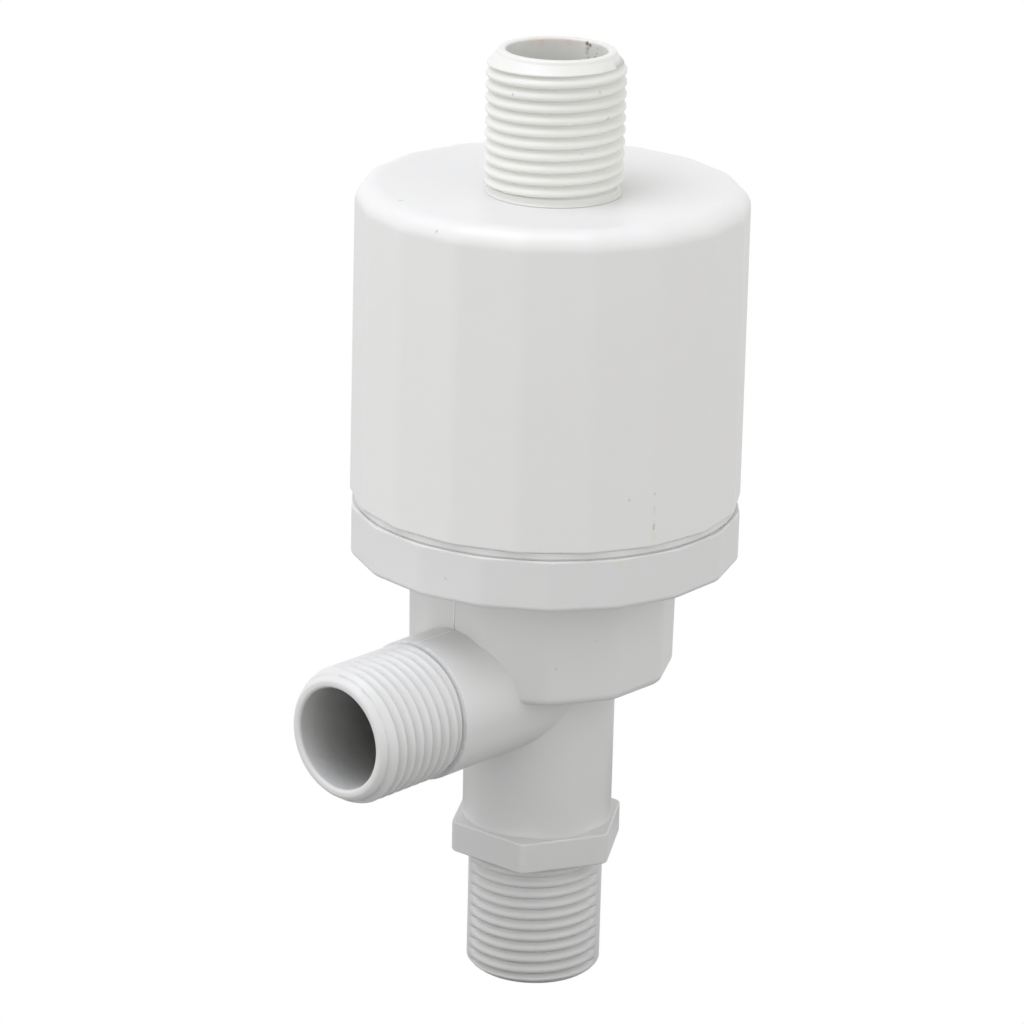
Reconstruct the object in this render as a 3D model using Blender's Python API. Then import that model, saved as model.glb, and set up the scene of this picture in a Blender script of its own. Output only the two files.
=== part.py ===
"""Pilot-operated float valve with two inlets and a bottom outlet.

The valve stands on its outlet end.  +Z runs up the main axis, the side inlet
points along -Y, the front.  The origin is on the floor plane of the outlet
end, under the middle of the valve's outline, so the main axis stands at
Y = AXIS_Y.

Water comes in through the top tube or through the side inlet and fills the
gallery around the outlet seat.  A piston with a rubber disc closes the seat.
The space above the piston drains through a small pilot passage to a nozzle in
the float chamber.  A ring float lifts the long arm of a lever, and the short
arm then presses a rubber pad on the nozzle: pressure builds up above the
piston and the valve shuts.

Lengths are millimetres about the main axis, and are turned into metres when a
mesh is made.  Sections are lists of (radius, z) stations.
"""
import math
from collections import namedtuple

import bmesh
import bpy
from mathutils import Matrix, Vector

MILLIMETRE = 0.001

# ---------------------------------------------------------------- dimensions
AXIS_Y = 7.56            # main axis, measured from the origin

# G 1/2 pipe thread (ISO 228)
THREAD_R = 10.4775       # crest radius
ROOT_R = 9.32            # root radius
PITCH = 1.814
THREAD_COLUMNS = 24      # facets per turn
CREST_FLAT = 0.16        # share of the pitch that is flat, at the crest
THREAD_END_GAP = 0.12    # clear height at both ends of the threaded length
CHAMFER_SLOPE = 0.62     # growth of the radius per length at the thread's mouth
# (share of the pitch, radius) of the profile, upwards from one root
THREAD_ROWS = ((0.0, ROOT_R),
               (0.5 - CREST_FLAT / 2, THREAD_R),
               (0.5 + CREST_FLAT / 2, THREAD_R))

# outlet nipple
OUTLET_BORE_R = 7.2
OUTLET_RIM_R = 9.2
OUTLET_THREAD_TOP = 19.6
HEX_Z0, HEX_Z1 = 20.34, 25.32
HEX_R = 14.05            # across corners / 2
HEX_CORNER_DEG = -57.2   # angle of one corner
HEX_EDGE = 0.45          # height of the bevel on the hexagon's ends

# body
PIPE_R, PIPE_Z0 = 11.61, 25.44
CUP_Z0, CUP_Z1 = 50.4, 68.9
CUP_R = 20.72            # 12-sided, corner radius
CUP_CORNER_DEG = -75.0
NECK_R, NECK_Z1 = 18.2, 75.5
GALLERY_R = 17.0
SEAT_TUBE_R = 9.6
BRANCH_Z = 49.8
BRANCH_R, BRANCH_BORE_R = 10.8, 7.8
BRANCH_START, BRANCH_BORE_START = 4.0, 10.4   # from the main axis
BRANCH_END = 45.0        # mouth, from the main axis
BRANCH_THREAD = (28.6, 43.4)

# base flange (18-sided) with its neck ring and spigot
FLANGE_Z0, FLANGE_Z1 = 69.0, 76.9
FLANGE_R, FLANGE_IN_R = 29.93, 18.5
FLANGE_FLOOR_Z = 76.0    # flange top inside the spigot
FLANGE_CORNER_DEG = -6.7
FLANGE_EDGE = 0.35       # bevel of the top edge
RING_R, RING_Z1 = 29.15, 78.02
SPIGOT_R, SPIGOT_IN_R, SPIGOT_Z1 = 27.05, 24.9, 83.0
WATER_SLOTS = 6
WATER_SLOT_DEG, WATER_SLOT_SPAN = 162.0, 26.0   # middle of the first, width
WATER_SLOT_IN_R, WATER_SLOT_OUT_R = 22.1, 24.5
WATER_SLOT_POINTS = 5    # points along each curved side

# float cover (18-sided)
COVER_Z0, COVER_Z1 = 78.12, 126.4
COVER_R, COVER_TOP_R = 29.95, 29.75   # the sides lean in a little for draft
COVER_EDGE = 3.0         # rounding of the top edge
COVER_EDGE_MID = 0.29 * COVER_EDGE    # inset of the rounding's middle point
HUB_Z = 125.2            # the top is dished: its height beside the tube
COVER_IN_R = 27.35
COVER_CORNER_DEG = 3.8
COVER_TOP = 2.2          # thickness of the top
COVER_HOLE_R = 9.7
AIR_HOLE_R, AIR_HOLE_Z, AIR_HOLE_DEG = 1.25, 118.5, 93.8

# top inlet tube
TUBE_BORE_R, TUBE_R = 7.59, 9.3
TUBE_Z0, TUBE_TOP = 81.7, 146.87
COLLAR_R, COLLAR_Z0, COLLAR_Z1 = 9.95, 125.27, 126.45
TOP_RIM_R = 8.96
TUBE_START_DEG = 3.8

# bonnet
PLATE_Z0, PLATE_Z1, PLATE_R = 76.1, 80.0, 21.5
SOCKET_R, SOCKET_IN_R, SOCKET_Z1 = 11.6, 9.42, 89.5
SKIRT_R, SKIRT_IN_R, SKIRT_Z0 = 15.45, 14.0, 66.4
CYL_R, CYL_IN_R, CYL_Z0 = 12.0, 10.3, 60.0
ROOF_Z0, ROOF_Z1 = 71.2, 72.8
RIBS, RIB_HALF = 4, 1.6  # number, half thickness
PILOT_START_R = 9.2      # where the pilot passage leaves the cylinder
PILOT_Z = 78.0           # height of its level part
BLEED_RAD, BLEED_Z = 0.4, 70.2        # turned from -Y towards +X

# pilot nozzle, lever and float linkage; the lever swings in a plane beside the
# tube, at LEVER_Y
LEVER_Y = 15.0
PIVOT_X, PIVOT_Z = -7.5, 87.0
SHORT_ARM, LONG_ARM = 6.0, 22.0
SWING_DEG = 20.0         # from -10 degrees (float down) to +10 degrees
HALF_SWING = SWING_DEG / 2
NOZZLE_X = PIVOT_X - SHORT_ARM
NOZZLE_PLACE = (NOZZLE_X, LEVER_Y)
PIN_R = 1.0
LINK_X = PIVOT_X + LONG_ARM * math.cos(math.radians(HALF_SWING))
LINK_Z = PIVOT_Z - LONG_ARM * math.sin(math.radians(HALF_SWING))
LEVER_BAR = 1.2          # half height and half thickness of the bar
LEVER_BOSS_R, LEVER_END_R = 2.3, 2.0
LINK_SLOT_STRETCH = 0.42  # each half of the lever's slot moves out by this
LINK_SLOT_OFFSET = 0.17  # slot middle, from the end of the long arm inwards
HOLE_REACH = 5.0         # crosswise cutters reach this far from LEVER_Y
FLOAT_Z0, FLOAT_Z1 = 92.0, 113.0
FLOAT_R, FLOAT_IN_R = 25.6, 10.3
FLOAT_EDGE = 1.2         # chamfer of the outer edges
LINK_X0, LINK_X1, LINK_HALF = 9.8, 17.3, 3.1   # plate under the float

# lever bracket: a base plate with two ears
BASE_X0, BASE_X1 = -9.8, 6.6
BASE_Z0, BASE_Z1 = PLATE_Z1 + 0.1, PLATE_Z1 + 1.6
EAR_THICKNESS = 1.4      # the gap between two ears is twice this
BRACKET_EAR_R, LINK_EAR_R = 2.2, 1.8
SCREW_X = (-1.0, 4.0)

# piston
PISTON_R = 10.15
PISTON_Z0, PISTON_Z1 = 59.6, 65.7

# coil spring between the piston and the roof of the cylinder
SPRING_R, SPRING_WIRE_R = 4.6, 0.35
SPRING_Z0, SPRING_Z1, SPRING_TURNS = 62.45, 71.05, 4.5
SPRING_STEPS, SPRING_SIDES = 63, 5
SPRING_END_FLATTENING = 0.028

# origins of the moving parts
MAIN_ORIGIN = (0, 0, 0)
PIVOT = (PIVOT_X, LEVER_Y, PIVOT_Z)
FLOAT_ORIGIN = (0, 0, FLOAT_Z0)
PISTON_ORIGIN = (0, 0, PISTON_Z0)

# ------------------------------------------------------------ mesh helpers
# station: index of the section point where the thread starts; root_deg: angle
# at which a root passes root_z; envelope: largest radius as a function of z
Thread = namedtuple("Thread", "station root_z root_deg envelope")


def chamfer(rim_radius, end_z):
    """Envelope of a thread that narrows towards its mouth at end_z."""
    def envelope(z):
        return min(THREAD_R, rim_radius + abs(z - end_z) * CHAMFER_SLOPE)
    return envelope


def polygon_radius(corner_radius, sides, corner_deg):
    """Radius of a regular polygon's outline, as a function of the angle."""
    step = 360.0 / sides
    apothem = corner_radius * math.cos(math.radians(step / 2))

    def radius(deg):
        offset = (deg - corner_deg) % step - step / 2
        return apothem / math.cos(math.radians(offset))
    return radius


def on_circle(radius, deg, z):
    angle = math.radians(deg)
    return (radius * math.cos(angle), radius * math.sin(angle), z)


def arc(center_x, center_z, radius, from_deg, to_deg, steps):
    """Points of an arc in XZ."""
    points = []
    for i in range(steps + 1):
        angle = math.radians(from_deg + (to_deg - from_deg) * i / steps)
        points.append((center_x + radius * math.cos(angle),
                       center_z + radius * math.sin(angle)))
    return points


def add_face(shape, *verts):
    """Face without repeated vertices; nothing if fewer than three are left."""
    unique = list(dict.fromkeys(verts))
    if len(unique) > 2:
        shape.faces.new(unique)


def add_thread(shape, thread, degrees, low, high, z_low, z_high):
    """Right-handed helical ridge between the vertex rings low and high."""
    rows = len(THREAD_ROWS)
    turns = range(math.floor((z_low - thread.root_z) / PITCH) - 3,
                  math.ceil((z_high - thread.root_z) / PITCH) + 3)
    ridge = []
    for deg in degrees:
        column = {}
        for turn in turns:
            for row, (share, radius) in enumerate(THREAD_ROWS):
                z = thread.root_z + PITCH * (
                    (deg - thread.root_deg) / 360.0 + turn + share)
                if z_low + THREAD_END_GAP < z < z_high - THREAD_END_GAP:
                    column[turn * rows + row] = shape.verts.new(
                        on_circle(min(radius, thread.envelope(z)), deg, z))
        ridge.append(column)
    for i, here in enumerate(ridge):
        j = (i + 1) % len(ridge)
        there = ridge[j]
        if j == 0:
            # a full circle has climbed one pitch
            there = {key - rows: vert for key, vert in there.items()}
        both = sorted(set(here) & set(there))
        first, last = both[0], both[-1]
        under_here = [here[key] for key in sorted(here) if key < first]
        under_there = [there[key] for key in sorted(there) if key < first]
        over_here = [here[key] for key in sorted(here) if key > last]
        over_there = [there[key] for key in sorted(there) if key > last]
        add_face(shape, low[i], low[j], *under_there, there[first],
                 here[first], *reversed(under_here))
        for key in both[:-1]:
            add_face(shape, here[key], there[key], there[key + 1],
                     here[key + 1])
        add_face(shape, here[last], there[last], *over_there, high[j],
                 high[i], *reversed(over_here))


def revolve(columns, section, thread=None, start_deg=0.0, closed=True):
    """A solid of revolution with the given number of columns, as a bmesh.

    section: (radius, z) stations, outer side upwards; a radius may be a
    function of the angle, for polygon outlines.  If the section is not
    closed, its first and last points lie on the axis.
    thread: a Thread that replaces the wall above its station."""
    shape = bmesh.new()
    degrees = [start_deg + 360.0 * i / columns for i in range(columns)]
    count = len(section)
    rings = []
    for n, (radius, z) in enumerate(section):
        if not closed and n in (0, count - 1):
            rings.append([shape.verts.new((0, 0, z))] * columns)
            continue
        rings.append([shape.verts.new(on_circle(
            radius(deg) if callable(radius) else radius, deg, z))
            for deg in degrees])

    for n in range(count if closed else count - 1):
        above = (n + 1) % count
        low, high = rings[n], rings[above]
        if thread and n == thread.station:
            add_thread(shape, thread, degrees, low, high,
                       section[n][1], section[above][1])
            continue
        for i in range(columns):
            j = (i + 1) % columns
            add_face(shape, low[i], low[j], high[j], high[i])
    return shape


def moved(shape, matrix):
    bmesh.ops.transform(shape, matrix=matrix, verts=shape.verts)
    return shape


def cylinder(radius, z0, z1, columns=16, center=(0, 0), matrix=None):
    """Closed cylinder along Z, optionally moved by a matrix."""
    shape = revolve(columns, [(0, z0), (radius, z0), (radius, z1), (0, z1)],
                    closed=False)
    moved(shape, Matrix.Translation((*center, 0)))
    if matrix is not None:
        moved(shape, matrix)
    return shape


def extrude_outline(points, y0, y1):
    """Prism from an outline in XZ, between two Y planes."""
    shape = bmesh.new()
    base = shape.faces.new([shape.verts.new((x, y0, z)) for x, z in points])
    result = bmesh.ops.extrude_face_region(shape, geom=[base])
    far = [item for item in result["geom"]
           if isinstance(item, bmesh.types.BMVert)]
    bmesh.ops.translate(shape, verts=far, vec=(0, y1 - y0, 0))
    return shape


def box_outline(x0, x1, z0, z1):
    return [(x0, z0), (x1, z0), (x1, z1), (x0, z1)]


def along(direction, origin):
    """Matrix that turns +Z to `direction` and moves the origin."""
    turn = Vector((0, 0, 1)).rotation_difference(Vector(direction))
    return Matrix.Translation(Vector(origin)) @ turn.to_matrix().to_4x4()


def crosswise(x, z):
    """Matrix that lays the Z axis along Y through (x, z)."""
    return Matrix.Translation((x, 0, z)) @ along((0, 1, 0), (0, 0, 0))


def cross_cutter(radius, x, z):
    """Cylinder along Y for a hole through lever, bracket or link."""
    return cylinder(radius, LEVER_Y - HOLE_REACH, LEVER_Y + HOLE_REACH,
                    matrix=crosswise(x, z))


def headed_pin(x, z, tail, head_radius, head_end):
    """Pin along Y, its head at +Y; tail and head_end are from LEVER_Y."""
    head_start = LEVER_Y + 2.9
    return moved(revolve(16, [
        (0, LEVER_Y - tail), (PIN_R, LEVER_Y - tail), (PIN_R, head_start),
        (head_radius, head_start), (head_radius, LEVER_Y + head_end),
        (0, LEVER_Y + head_end)], closed=False), crosswise(x, z))


# ---------------------------------------------------------- object helpers


def world_point(point):
    """Millimetres about the main axis -> metres about the origin."""
    return Vector((point[0], point[1] + AXIS_Y, point[2])) * MILLIMETRE


def make_object(name, shape, mat, origin=MAIN_ORIGIN, parent=None,
                smooth_deg=35.0):
    """Mesh in millimetres about the main axis -> object in metres whose origin
    is at the point `origin`."""
    bmesh.ops.recalc_face_normals(shape, faces=shape.faces)
    if shape.calc_volume(signed=True) < 0:
        bmesh.ops.reverse_faces(shape, faces=shape.faces)
    bmesh.ops.translate(shape, verts=shape.verts, vec=-Vector(origin))
    bmesh.ops.scale(shape, verts=shape.verts, vec=(MILLIMETRE,) * 3)
    mesh = bpy.data.meshes.new(name)
    shape.to_mesh(mesh)
    shape.free()
    mesh.shade_smooth()
    mesh.set_sharp_from_angle(angle=math.radians(smooth_deg))
    mesh.materials.append(mat)
    obj = bpy.data.objects.new(name, mesh)
    bpy.context.scene.collection.objects.link(obj)
    obj.location = world_point(origin)
    if parent is not None:
        obj.parent = parent
        obj.location = world_point(origin) - parent.location
    return obj


def boolean(target, operation, shape, label, origin):
    """Adds an EXACT Boolean with a wire-drawn tool.

    A moving target passes its origin: the tool then hangs on the target and
    is drawn about that origin."""
    tool = make_object(f"tool_{label}", shape, target.data.materials[0])
    tool.hide_render = True
    tool.display_type = "WIRE"
    if origin is not None:
        tool.location = (0, 0, 0)
        tool.parent = target
        tool.data.transform(
            Matrix.Translation(-Vector(origin) * MILLIMETRE))
    modifier = target.modifiers.new(label, "BOOLEAN")
    modifier.operation = operation
    modifier.solver = "EXACT"
    modifier.object = tool


def cut(target, shape, label, origin=None):
    boolean(target, "DIFFERENCE", shape, label, origin)


def join(target, shape, label, origin=None):
    boolean(target, "UNION", shape, label, origin)


def join_ears(target, center_x, center_z, radius, root_z, from_deg, label,
              origin=None):
    """Two ears beside the lever, from root_z to a round end; the end's arc
    starts at 0 degrees for ears pointing up and at 180 for ears down."""
    side = radius if from_deg == 0 else -radius
    outline = [(center_x - side, root_z), (center_x + side, root_z)]
    outline += arc(center_x, center_z, radius, from_deg, from_deg + 180, 8)
    starts = (LEVER_Y - 2 * EAR_THICKNESS, LEVER_Y + EAR_THICKNESS)
    for number, start in enumerate(starts, 1):
        join(target, extrude_outline(outline, start, start + EAR_THICKNESS),
             f"{label}_{number}", origin)


def make_axis(name, point):
    """Empty that marks a joint's axis."""
    obj = bpy.data.objects.new(name, None)
    obj.empty_display_size = 0.005
    obj.location = world_point(point)
    bpy.context.scene.collection.objects.link(obj)
    return obj


def make_seal(name, major, minor, z, **placing):
    """O-ring lying flat around the main axis."""
    sides = 6
    section = []
    for i in range(sides):
        angle = 2 * math.pi * (i + 0.5) / sides
        section.append((major + minor * math.cos(angle),
                        z + minor * math.sin(angle)))
    make_object(name, revolve(30, section), RUBBER, smooth_deg=80, **placing)


def material(name, color, roughness, metallic=0.0):
    mat = bpy.data.materials.new(name)
    mat.use_nodes = True
    shader = mat.node_tree.nodes["Principled BSDF"]
    shader.inputs["Base Color"].default_value = (*color, 1.0)
    shader.inputs["Roughness"].default_value = roughness
    shader.inputs["Metallic"].default_value = metallic
    mat.diffuse_color = (*color, 1.0)
    return mat


# -------------------------------------------------------------- fixed parts


def make_outlet_nipple():
    def hexagon(inset):
        return polygon_radius(HEX_R - inset, 6, HEX_CORNER_DEG)

    section = [
        (OUTLET_BORE_R, 0.0), (OUTLET_RIM_R, 0.0),
        (9.45, OUTLET_THREAD_TOP), (9.45, HEX_Z0),
        (hexagon(0.55), HEX_Z0), (hexagon(0), HEX_Z0 + HEX_EDGE),
        (hexagon(0), HEX_Z1 - HEX_EDGE), (hexagon(0.55), HEX_Z1),
        (9.25, HEX_Z1), (9.25, 29.6), (8.15, 29.6), (8.15, 31.1),
        (9.25, 31.1), (9.25, 36.6), (8.85, 37.0), (OUTLET_BORE_R, 37.0)]
    thread = Thread(station=1, root_z=18.03, root_deg=-48.6,
                    envelope=chamfer(OUTLET_RIM_R, 0.0))
    make_object("outlet_nipple", revolve(
        THREAD_COLUMNS, section, thread, start_deg=HEX_CORNER_DEG), WHITE)
    make_seal("nipple_oring", major=8.82, minor=0.54, z=30.35)


def make_body():
    """Pipe, 12-sided cup and neck, with the side inlet joined on."""
    def dodecagon(inset):
        return polygon_radius(CUP_R - inset, 12, CUP_CORNER_DEG)

    body = make_object("valve_body", revolve(48, [
        (0, PIPE_Z0), (PIPE_R, PIPE_Z0), (PIPE_R, CUP_Z0),
        (dodecagon(1.9), CUP_Z0), (dodecagon(0.6), CUP_Z0 + 0.6),
        (dodecagon(0), CUP_Z0 + 1.9), (dodecagon(0), CUP_Z1),
        (NECK_R, CUP_Z1), (NECK_R, NECK_Z1), (17.6, NECK_Z1), (17.6, 74.3),
        (16.2, 74.3), (16.2, NECK_Z1), (0, NECK_Z1)],
        start_deg=CUP_CORNER_DEG, closed=False), WHITE)

    # lays +Z along -Y, at the height of the side inlet
    to_branch = Matrix(((1, 0, 0, 0), (0, 0, -1, 0), (0, 1, 0, BRANCH_Z),
                        (0, 0, 0, 1)))
    thread_start, thread_end = BRANCH_THREAD
    thread = Thread(station=3, root_z=0.92 + PITCH / 2, root_deg=0.0,
                    envelope=chamfer(9.35, BRANCH_END - 0.35))
    rod = revolve(THREAD_COLUMNS, [
        (0, BRANCH_START), (BRANCH_R, BRANCH_START), (BRANCH_R, thread_start),
        (9.5, thread_start + 0.02), (9.3, thread_end),
        (9.25, BRANCH_END - 0.4), (8.85, BRANCH_END), (0, BRANCH_END)],
        thread, closed=False)
    join(body, moved(rod, to_branch), "side_inlet")

    # nipple socket, outlet bore and the gallery around the seat tube
    cut(body, revolve(48, [
        (0, 24.0), (9.45, 24.0), (9.45, 37.6), (OUTLET_BORE_R, 37.6),
        (OUTLET_BORE_R, 55.0), (SEAT_TUBE_R, 55.0), (SEAT_TUBE_R, 53.0),
        (GALLERY_R, 53.0), (GALLERY_R, 65.6), (15.6, 66.8), (15.6, 77.0),
        (0, 77.0)], start_deg=CUP_CORNER_DEG, closed=False), "gallery")
    bore = revolve(24, [
        (0, BRANCH_BORE_START), (BRANCH_BORE_R, BRANCH_BORE_START),
        (BRANCH_BORE_R, BRANCH_END - 0.25),
        (BRANCH_BORE_R + 1.25, BRANCH_END + 1.0), (0, BRANCH_END + 1.0)],
        start_deg=7.5, closed=False)
    cut(body, moved(bore, to_branch), "side_bore")


def make_seat_ring():
    make_object("seat_ring", revolve(30, [
        (6.3, 50.2), (7.05, 50.2), (7.05, 55.1), (9.3, 55.1), (9.3, 56.1),
        (8.3, 56.4), (7.9, 57.1), (7.3, 57.1), (6.3, 56.3)]), STEEL)


def water_slot(middle_deg):
    """Cutter for a curved slot through the flange."""
    shape = bmesh.new()
    forward = range(WATER_SLOT_POINTS)
    rings = []
    for z in (68.0, 77.5):
        ring = []
        for radius, order in ((WATER_SLOT_IN_R, forward),
                              (WATER_SLOT_OUT_R, reversed(forward))):
            for i in order:
                share = i / (WATER_SLOT_POINTS - 1) - 0.5
                ring.append(shape.verts.new(on_circle(
                    radius, middle_deg + WATER_SLOT_SPAN * share, z)))
        rings.append(ring)
    bottom, top = rings
    shape.faces.new(bottom)
    shape.faces.new(top)
    for i in range(len(bottom)):
        j = (i + 1) % len(bottom)
        shape.faces.new((bottom[i], bottom[j], top[j], top[i]))
    return shape


def make_base_flange():
    def octadecagon(inset):
        return polygon_radius(FLANGE_R - inset, 18, FLANGE_CORNER_DEG)

    flange = make_object("base_flange", revolve(36, [
        (FLANGE_IN_R, FLANGE_Z0), (octadecagon(1.0), FLANGE_Z0),
        (octadecagon(0), FLANGE_Z0 + 1.0),
        (octadecagon(0), FLANGE_Z1 - FLANGE_EDGE),
        (octadecagon(FLANGE_EDGE), FLANGE_Z1),
        (RING_R, FLANGE_Z1), (RING_R, RING_Z1),
        (SPIGOT_R, RING_Z1), (SPIGOT_R, SPIGOT_Z1),
        (SPIGOT_IN_R, SPIGOT_Z1), (SPIGOT_IN_R, FLANGE_FLOOR_Z),
        (FLANGE_IN_R, FLANGE_FLOOR_Z)],
        start_deg=FLANGE_CORNER_DEG), WHITE)
    # water enters the float chamber through these
    for number in range(WATER_SLOTS):
        middle_deg = WATER_SLOT_DEG + 360.0 / WATER_SLOTS * number
        cut(flange, water_slot(middle_deg), f"water_slot_{number + 1}")


def make_float_cover():
    def outline(corner_radius):
        return polygon_radius(corner_radius, 18, COVER_CORNER_DEG)

    cover = make_object("float_cover", revolve(36, [
        (outline(COVER_R - 0.3), COVER_Z0), (outline(COVER_R), COVER_Z0 + 0.3),
        (outline(COVER_TOP_R), COVER_Z1 - COVER_EDGE),
        (outline(COVER_TOP_R - COVER_EDGE_MID), COVER_Z1 - COVER_EDGE_MID),
        (outline(COVER_TOP_R - COVER_EDGE), COVER_Z1),
        (18.0, HUB_Z + 0.5), (COVER_HOLE_R, HUB_Z),
        (COVER_HOLE_R, HUB_Z - COVER_TOP), (COVER_IN_R - 1.0, HUB_Z - 1.6),
        (COVER_IN_R, HUB_Z - 2.6), (COVER_IN_R, COVER_Z0)],
        start_deg=COVER_CORNER_DEG), WHITE)
    # small air hole high on the back
    cut(cover, cylinder(AIR_HOLE_R, 24.0, 32.0, columns=12, matrix=along(
        on_circle(1.0, AIR_HOLE_DEG, 0), (0, 0, AIR_HOLE_Z))), "air_hole")


def make_top_inlet():
    thread = Thread(station=5, root_z=144.65, root_deg=-48.6,
                    envelope=chamfer(TOP_RIM_R, TUBE_TOP))
    make_object("top_inlet_tube", revolve(THREAD_COLUMNS, [
        (TUBE_BORE_R, TUBE_Z0), (TUBE_R, TUBE_Z0), (TUBE_R, COLLAR_Z0),
        (COLLAR_R, COLLAR_Z0), (COLLAR_R, COLLAR_Z1),
        (9.5, COLLAR_Z1 + 0.05), (TOP_RIM_R, TUBE_TOP),
        (TUBE_BORE_R, TUBE_TOP)], thread, start_deg=TUBE_START_DEG), WHITE)
    # between the tube's lower end and the bonnet plate
    bottom, top = PLATE_Z1 + 0.1, TUBE_Z0 - 0.1
    make_object("tube_gasket", revolve(36, [
        (7.75, bottom), (9.25, bottom), (9.25, top), (7.75, top)]), RUBBER)


def make_bonnet():
    """Plate with a tube socket above, a skirt and the piston's cylinder
    below, and the pilot passage to the nozzle boss."""
    make_seal("bonnet_oring", major=16.9, minor=0.62, z=75.05)
    bonnet = make_object("bonnet", revolve(36, [
        (SKIRT_IN_R, SKIRT_Z0), (SKIRT_R, SKIRT_Z0), (SKIRT_R, PLATE_Z0),
        (PLATE_R, PLATE_Z0), (PLATE_R, PLATE_Z1), (SOCKET_R, PLATE_Z1),
        (SOCKET_R, SOCKET_Z1), (SOCKET_IN_R, SOCKET_Z1),
        (SOCKET_IN_R, PLATE_Z1), (7.6, PLATE_Z1), (7.6, PLATE_Z0),
        (SKIRT_IN_R, PLATE_Z0)]), NATURAL)
    join(bonnet, revolve(36, [
        (0, ROOF_Z0), (CYL_IN_R, ROOF_Z0), (CYL_IN_R, CYL_Z0),
        (CYL_R, CYL_Z0), (CYL_R, ROOF_Z1), (0, ROOF_Z1)], closed=False),
        "cylinder")

    # ribs hold the cylinder; the first one points at the nozzle
    nozzle_deg = math.degrees(math.atan2(LEVER_Y, NOZZLE_X))
    rib_outline = [(7.85, 72.0), (11.2, 72.0), (11.2, 66.7), (14.7, 66.7),
                   (14.7, 76.5), (7.85, 76.5)]
    for number in range(RIBS):
        turn = math.radians(nozzle_deg + 360.0 / RIBS * number)
        rib = moved(extrude_outline(rib_outline, -RIB_HALF, RIB_HALF),
                    Matrix.Rotation(turn, 4, "Z"))
        join(bonnet, rib, f"rib_{number + 1}")
    join(bonnet, cylinder(3.2, 76.15, 82.0, columns=20, center=NOZZLE_PLACE),
         "nozzle_boss")

    # pilot passage: up from the cylinder, outwards through the plate, up again
    nozzle_distance = math.hypot(NOZZLE_X, LEVER_Y)
    outwards = Vector((NOZZLE_X, LEVER_Y, 0)).normalized()
    start = outwards * PILOT_START_R
    cut(bonnet, cylinder(0.8, 70.6, 78.25, columns=10,
                         center=(start.x, start.y)), "pilot_up")
    cut(bonnet, cylinder(0.55, PILOT_START_R - 0.1, nozzle_distance + 0.2,
                         columns=9, matrix=along(outwards, (0, 0, PILOT_Z))),
        "pilot_across")
    cut(bonnet, cylinder(0.85, 77.75, 79.3, columns=12, center=NOZZLE_PLACE),
        "pilot_rise")
    cut(bonnet, cylinder(1.75, 79.0, 83.0, center=NOZZLE_PLACE),
        "nozzle_hole")
    # bleed hole from the gallery into the cylinder
    cut(bonnet, cylinder(0.4, 9.0, 13.0, columns=8, matrix=along(
        (math.sin(BLEED_RAD), -math.cos(BLEED_RAD), 0), (0, 0, BLEED_Z))),
        "bleed")
    for number, x in enumerate(SCREW_X, 1):
        cut(bonnet, cylinder(1.25, 76.9, 81.0, columns=12,
                             center=(x, LEVER_Y)),
            f"bracket_screw_hole_{number}")


def make_pilot_nozzle():
    shape = revolve(16, [
        (0.4, 79.1), (1.6, 79.1), (1.6, 82.1), (2.7, 82.1), (2.7, 83.0),
        (1.7, 83.1), (1.0, 84.4), (0.4, 84.4)])
    make_object("pilot_nozzle",
                moved(shape, Matrix.Translation((*NOZZLE_PLACE, 0))), BRASS)


def make_bracket_screw(number, x):
    """Screw with a slotted head, through the bracket into the bonnet."""
    shape = revolve(12, [
        (0, 77.1), (1.1, 77.1), (1.1, BASE_Z1 + 0.1), (1.9, BASE_Z1 + 0.1),
        (1.9, BASE_Z1 + 0.8), (1.3, BASE_Z1 + 1.3), (0, BASE_Z1 + 1.3)],
        closed=False)
    screw = make_object(f"bracket_screw_{number}",
                        moved(shape, Matrix.Translation((x, LEVER_Y, 0))),
                        STEEL)
    slot = box_outline(x - 2.2, x + 2.2, BASE_Z1 + 0.75, BASE_Z1 + 2.0)
    cut(screw, extrude_outline(slot, LEVER_Y - 0.3, LEVER_Y + 0.3),
        f"screw_slot_{number}")


def make_lever_bracket():
    half_width = 2 * EAR_THICKNESS
    bracket = make_object("lever_bracket", extrude_outline(
        box_outline(BASE_X0, BASE_X1, BASE_Z0, BASE_Z1),
        LEVER_Y - half_width, LEVER_Y + half_width), STEEL)
    join_ears(bracket, PIVOT_X, PIVOT_Z, BRACKET_EAR_R, root_z=BASE_Z0 + 0.6,
              from_deg=0, label="bracket_ear")
    cut(bracket, cross_cutter(PIN_R + 0.1, PIVOT_X, PIVOT_Z), "pivot_hole")
    for number, x in enumerate(SCREW_X, 1):
        cut(bracket, cylinder(1.3, BASE_Z0 - 1, BASE_Z1 + 1, columns=12,
                              center=(x, LEVER_Y)), f"base_hole_{number}")
        make_bracket_screw(number, x)
    make_object("lever_pin", headed_pin(
        PIVOT_X, PIVOT_Z, tail=3.1, head_radius=1.7, head_end=3.6), STEEL)


# ------------------------------------------------------------- moving parts


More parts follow.
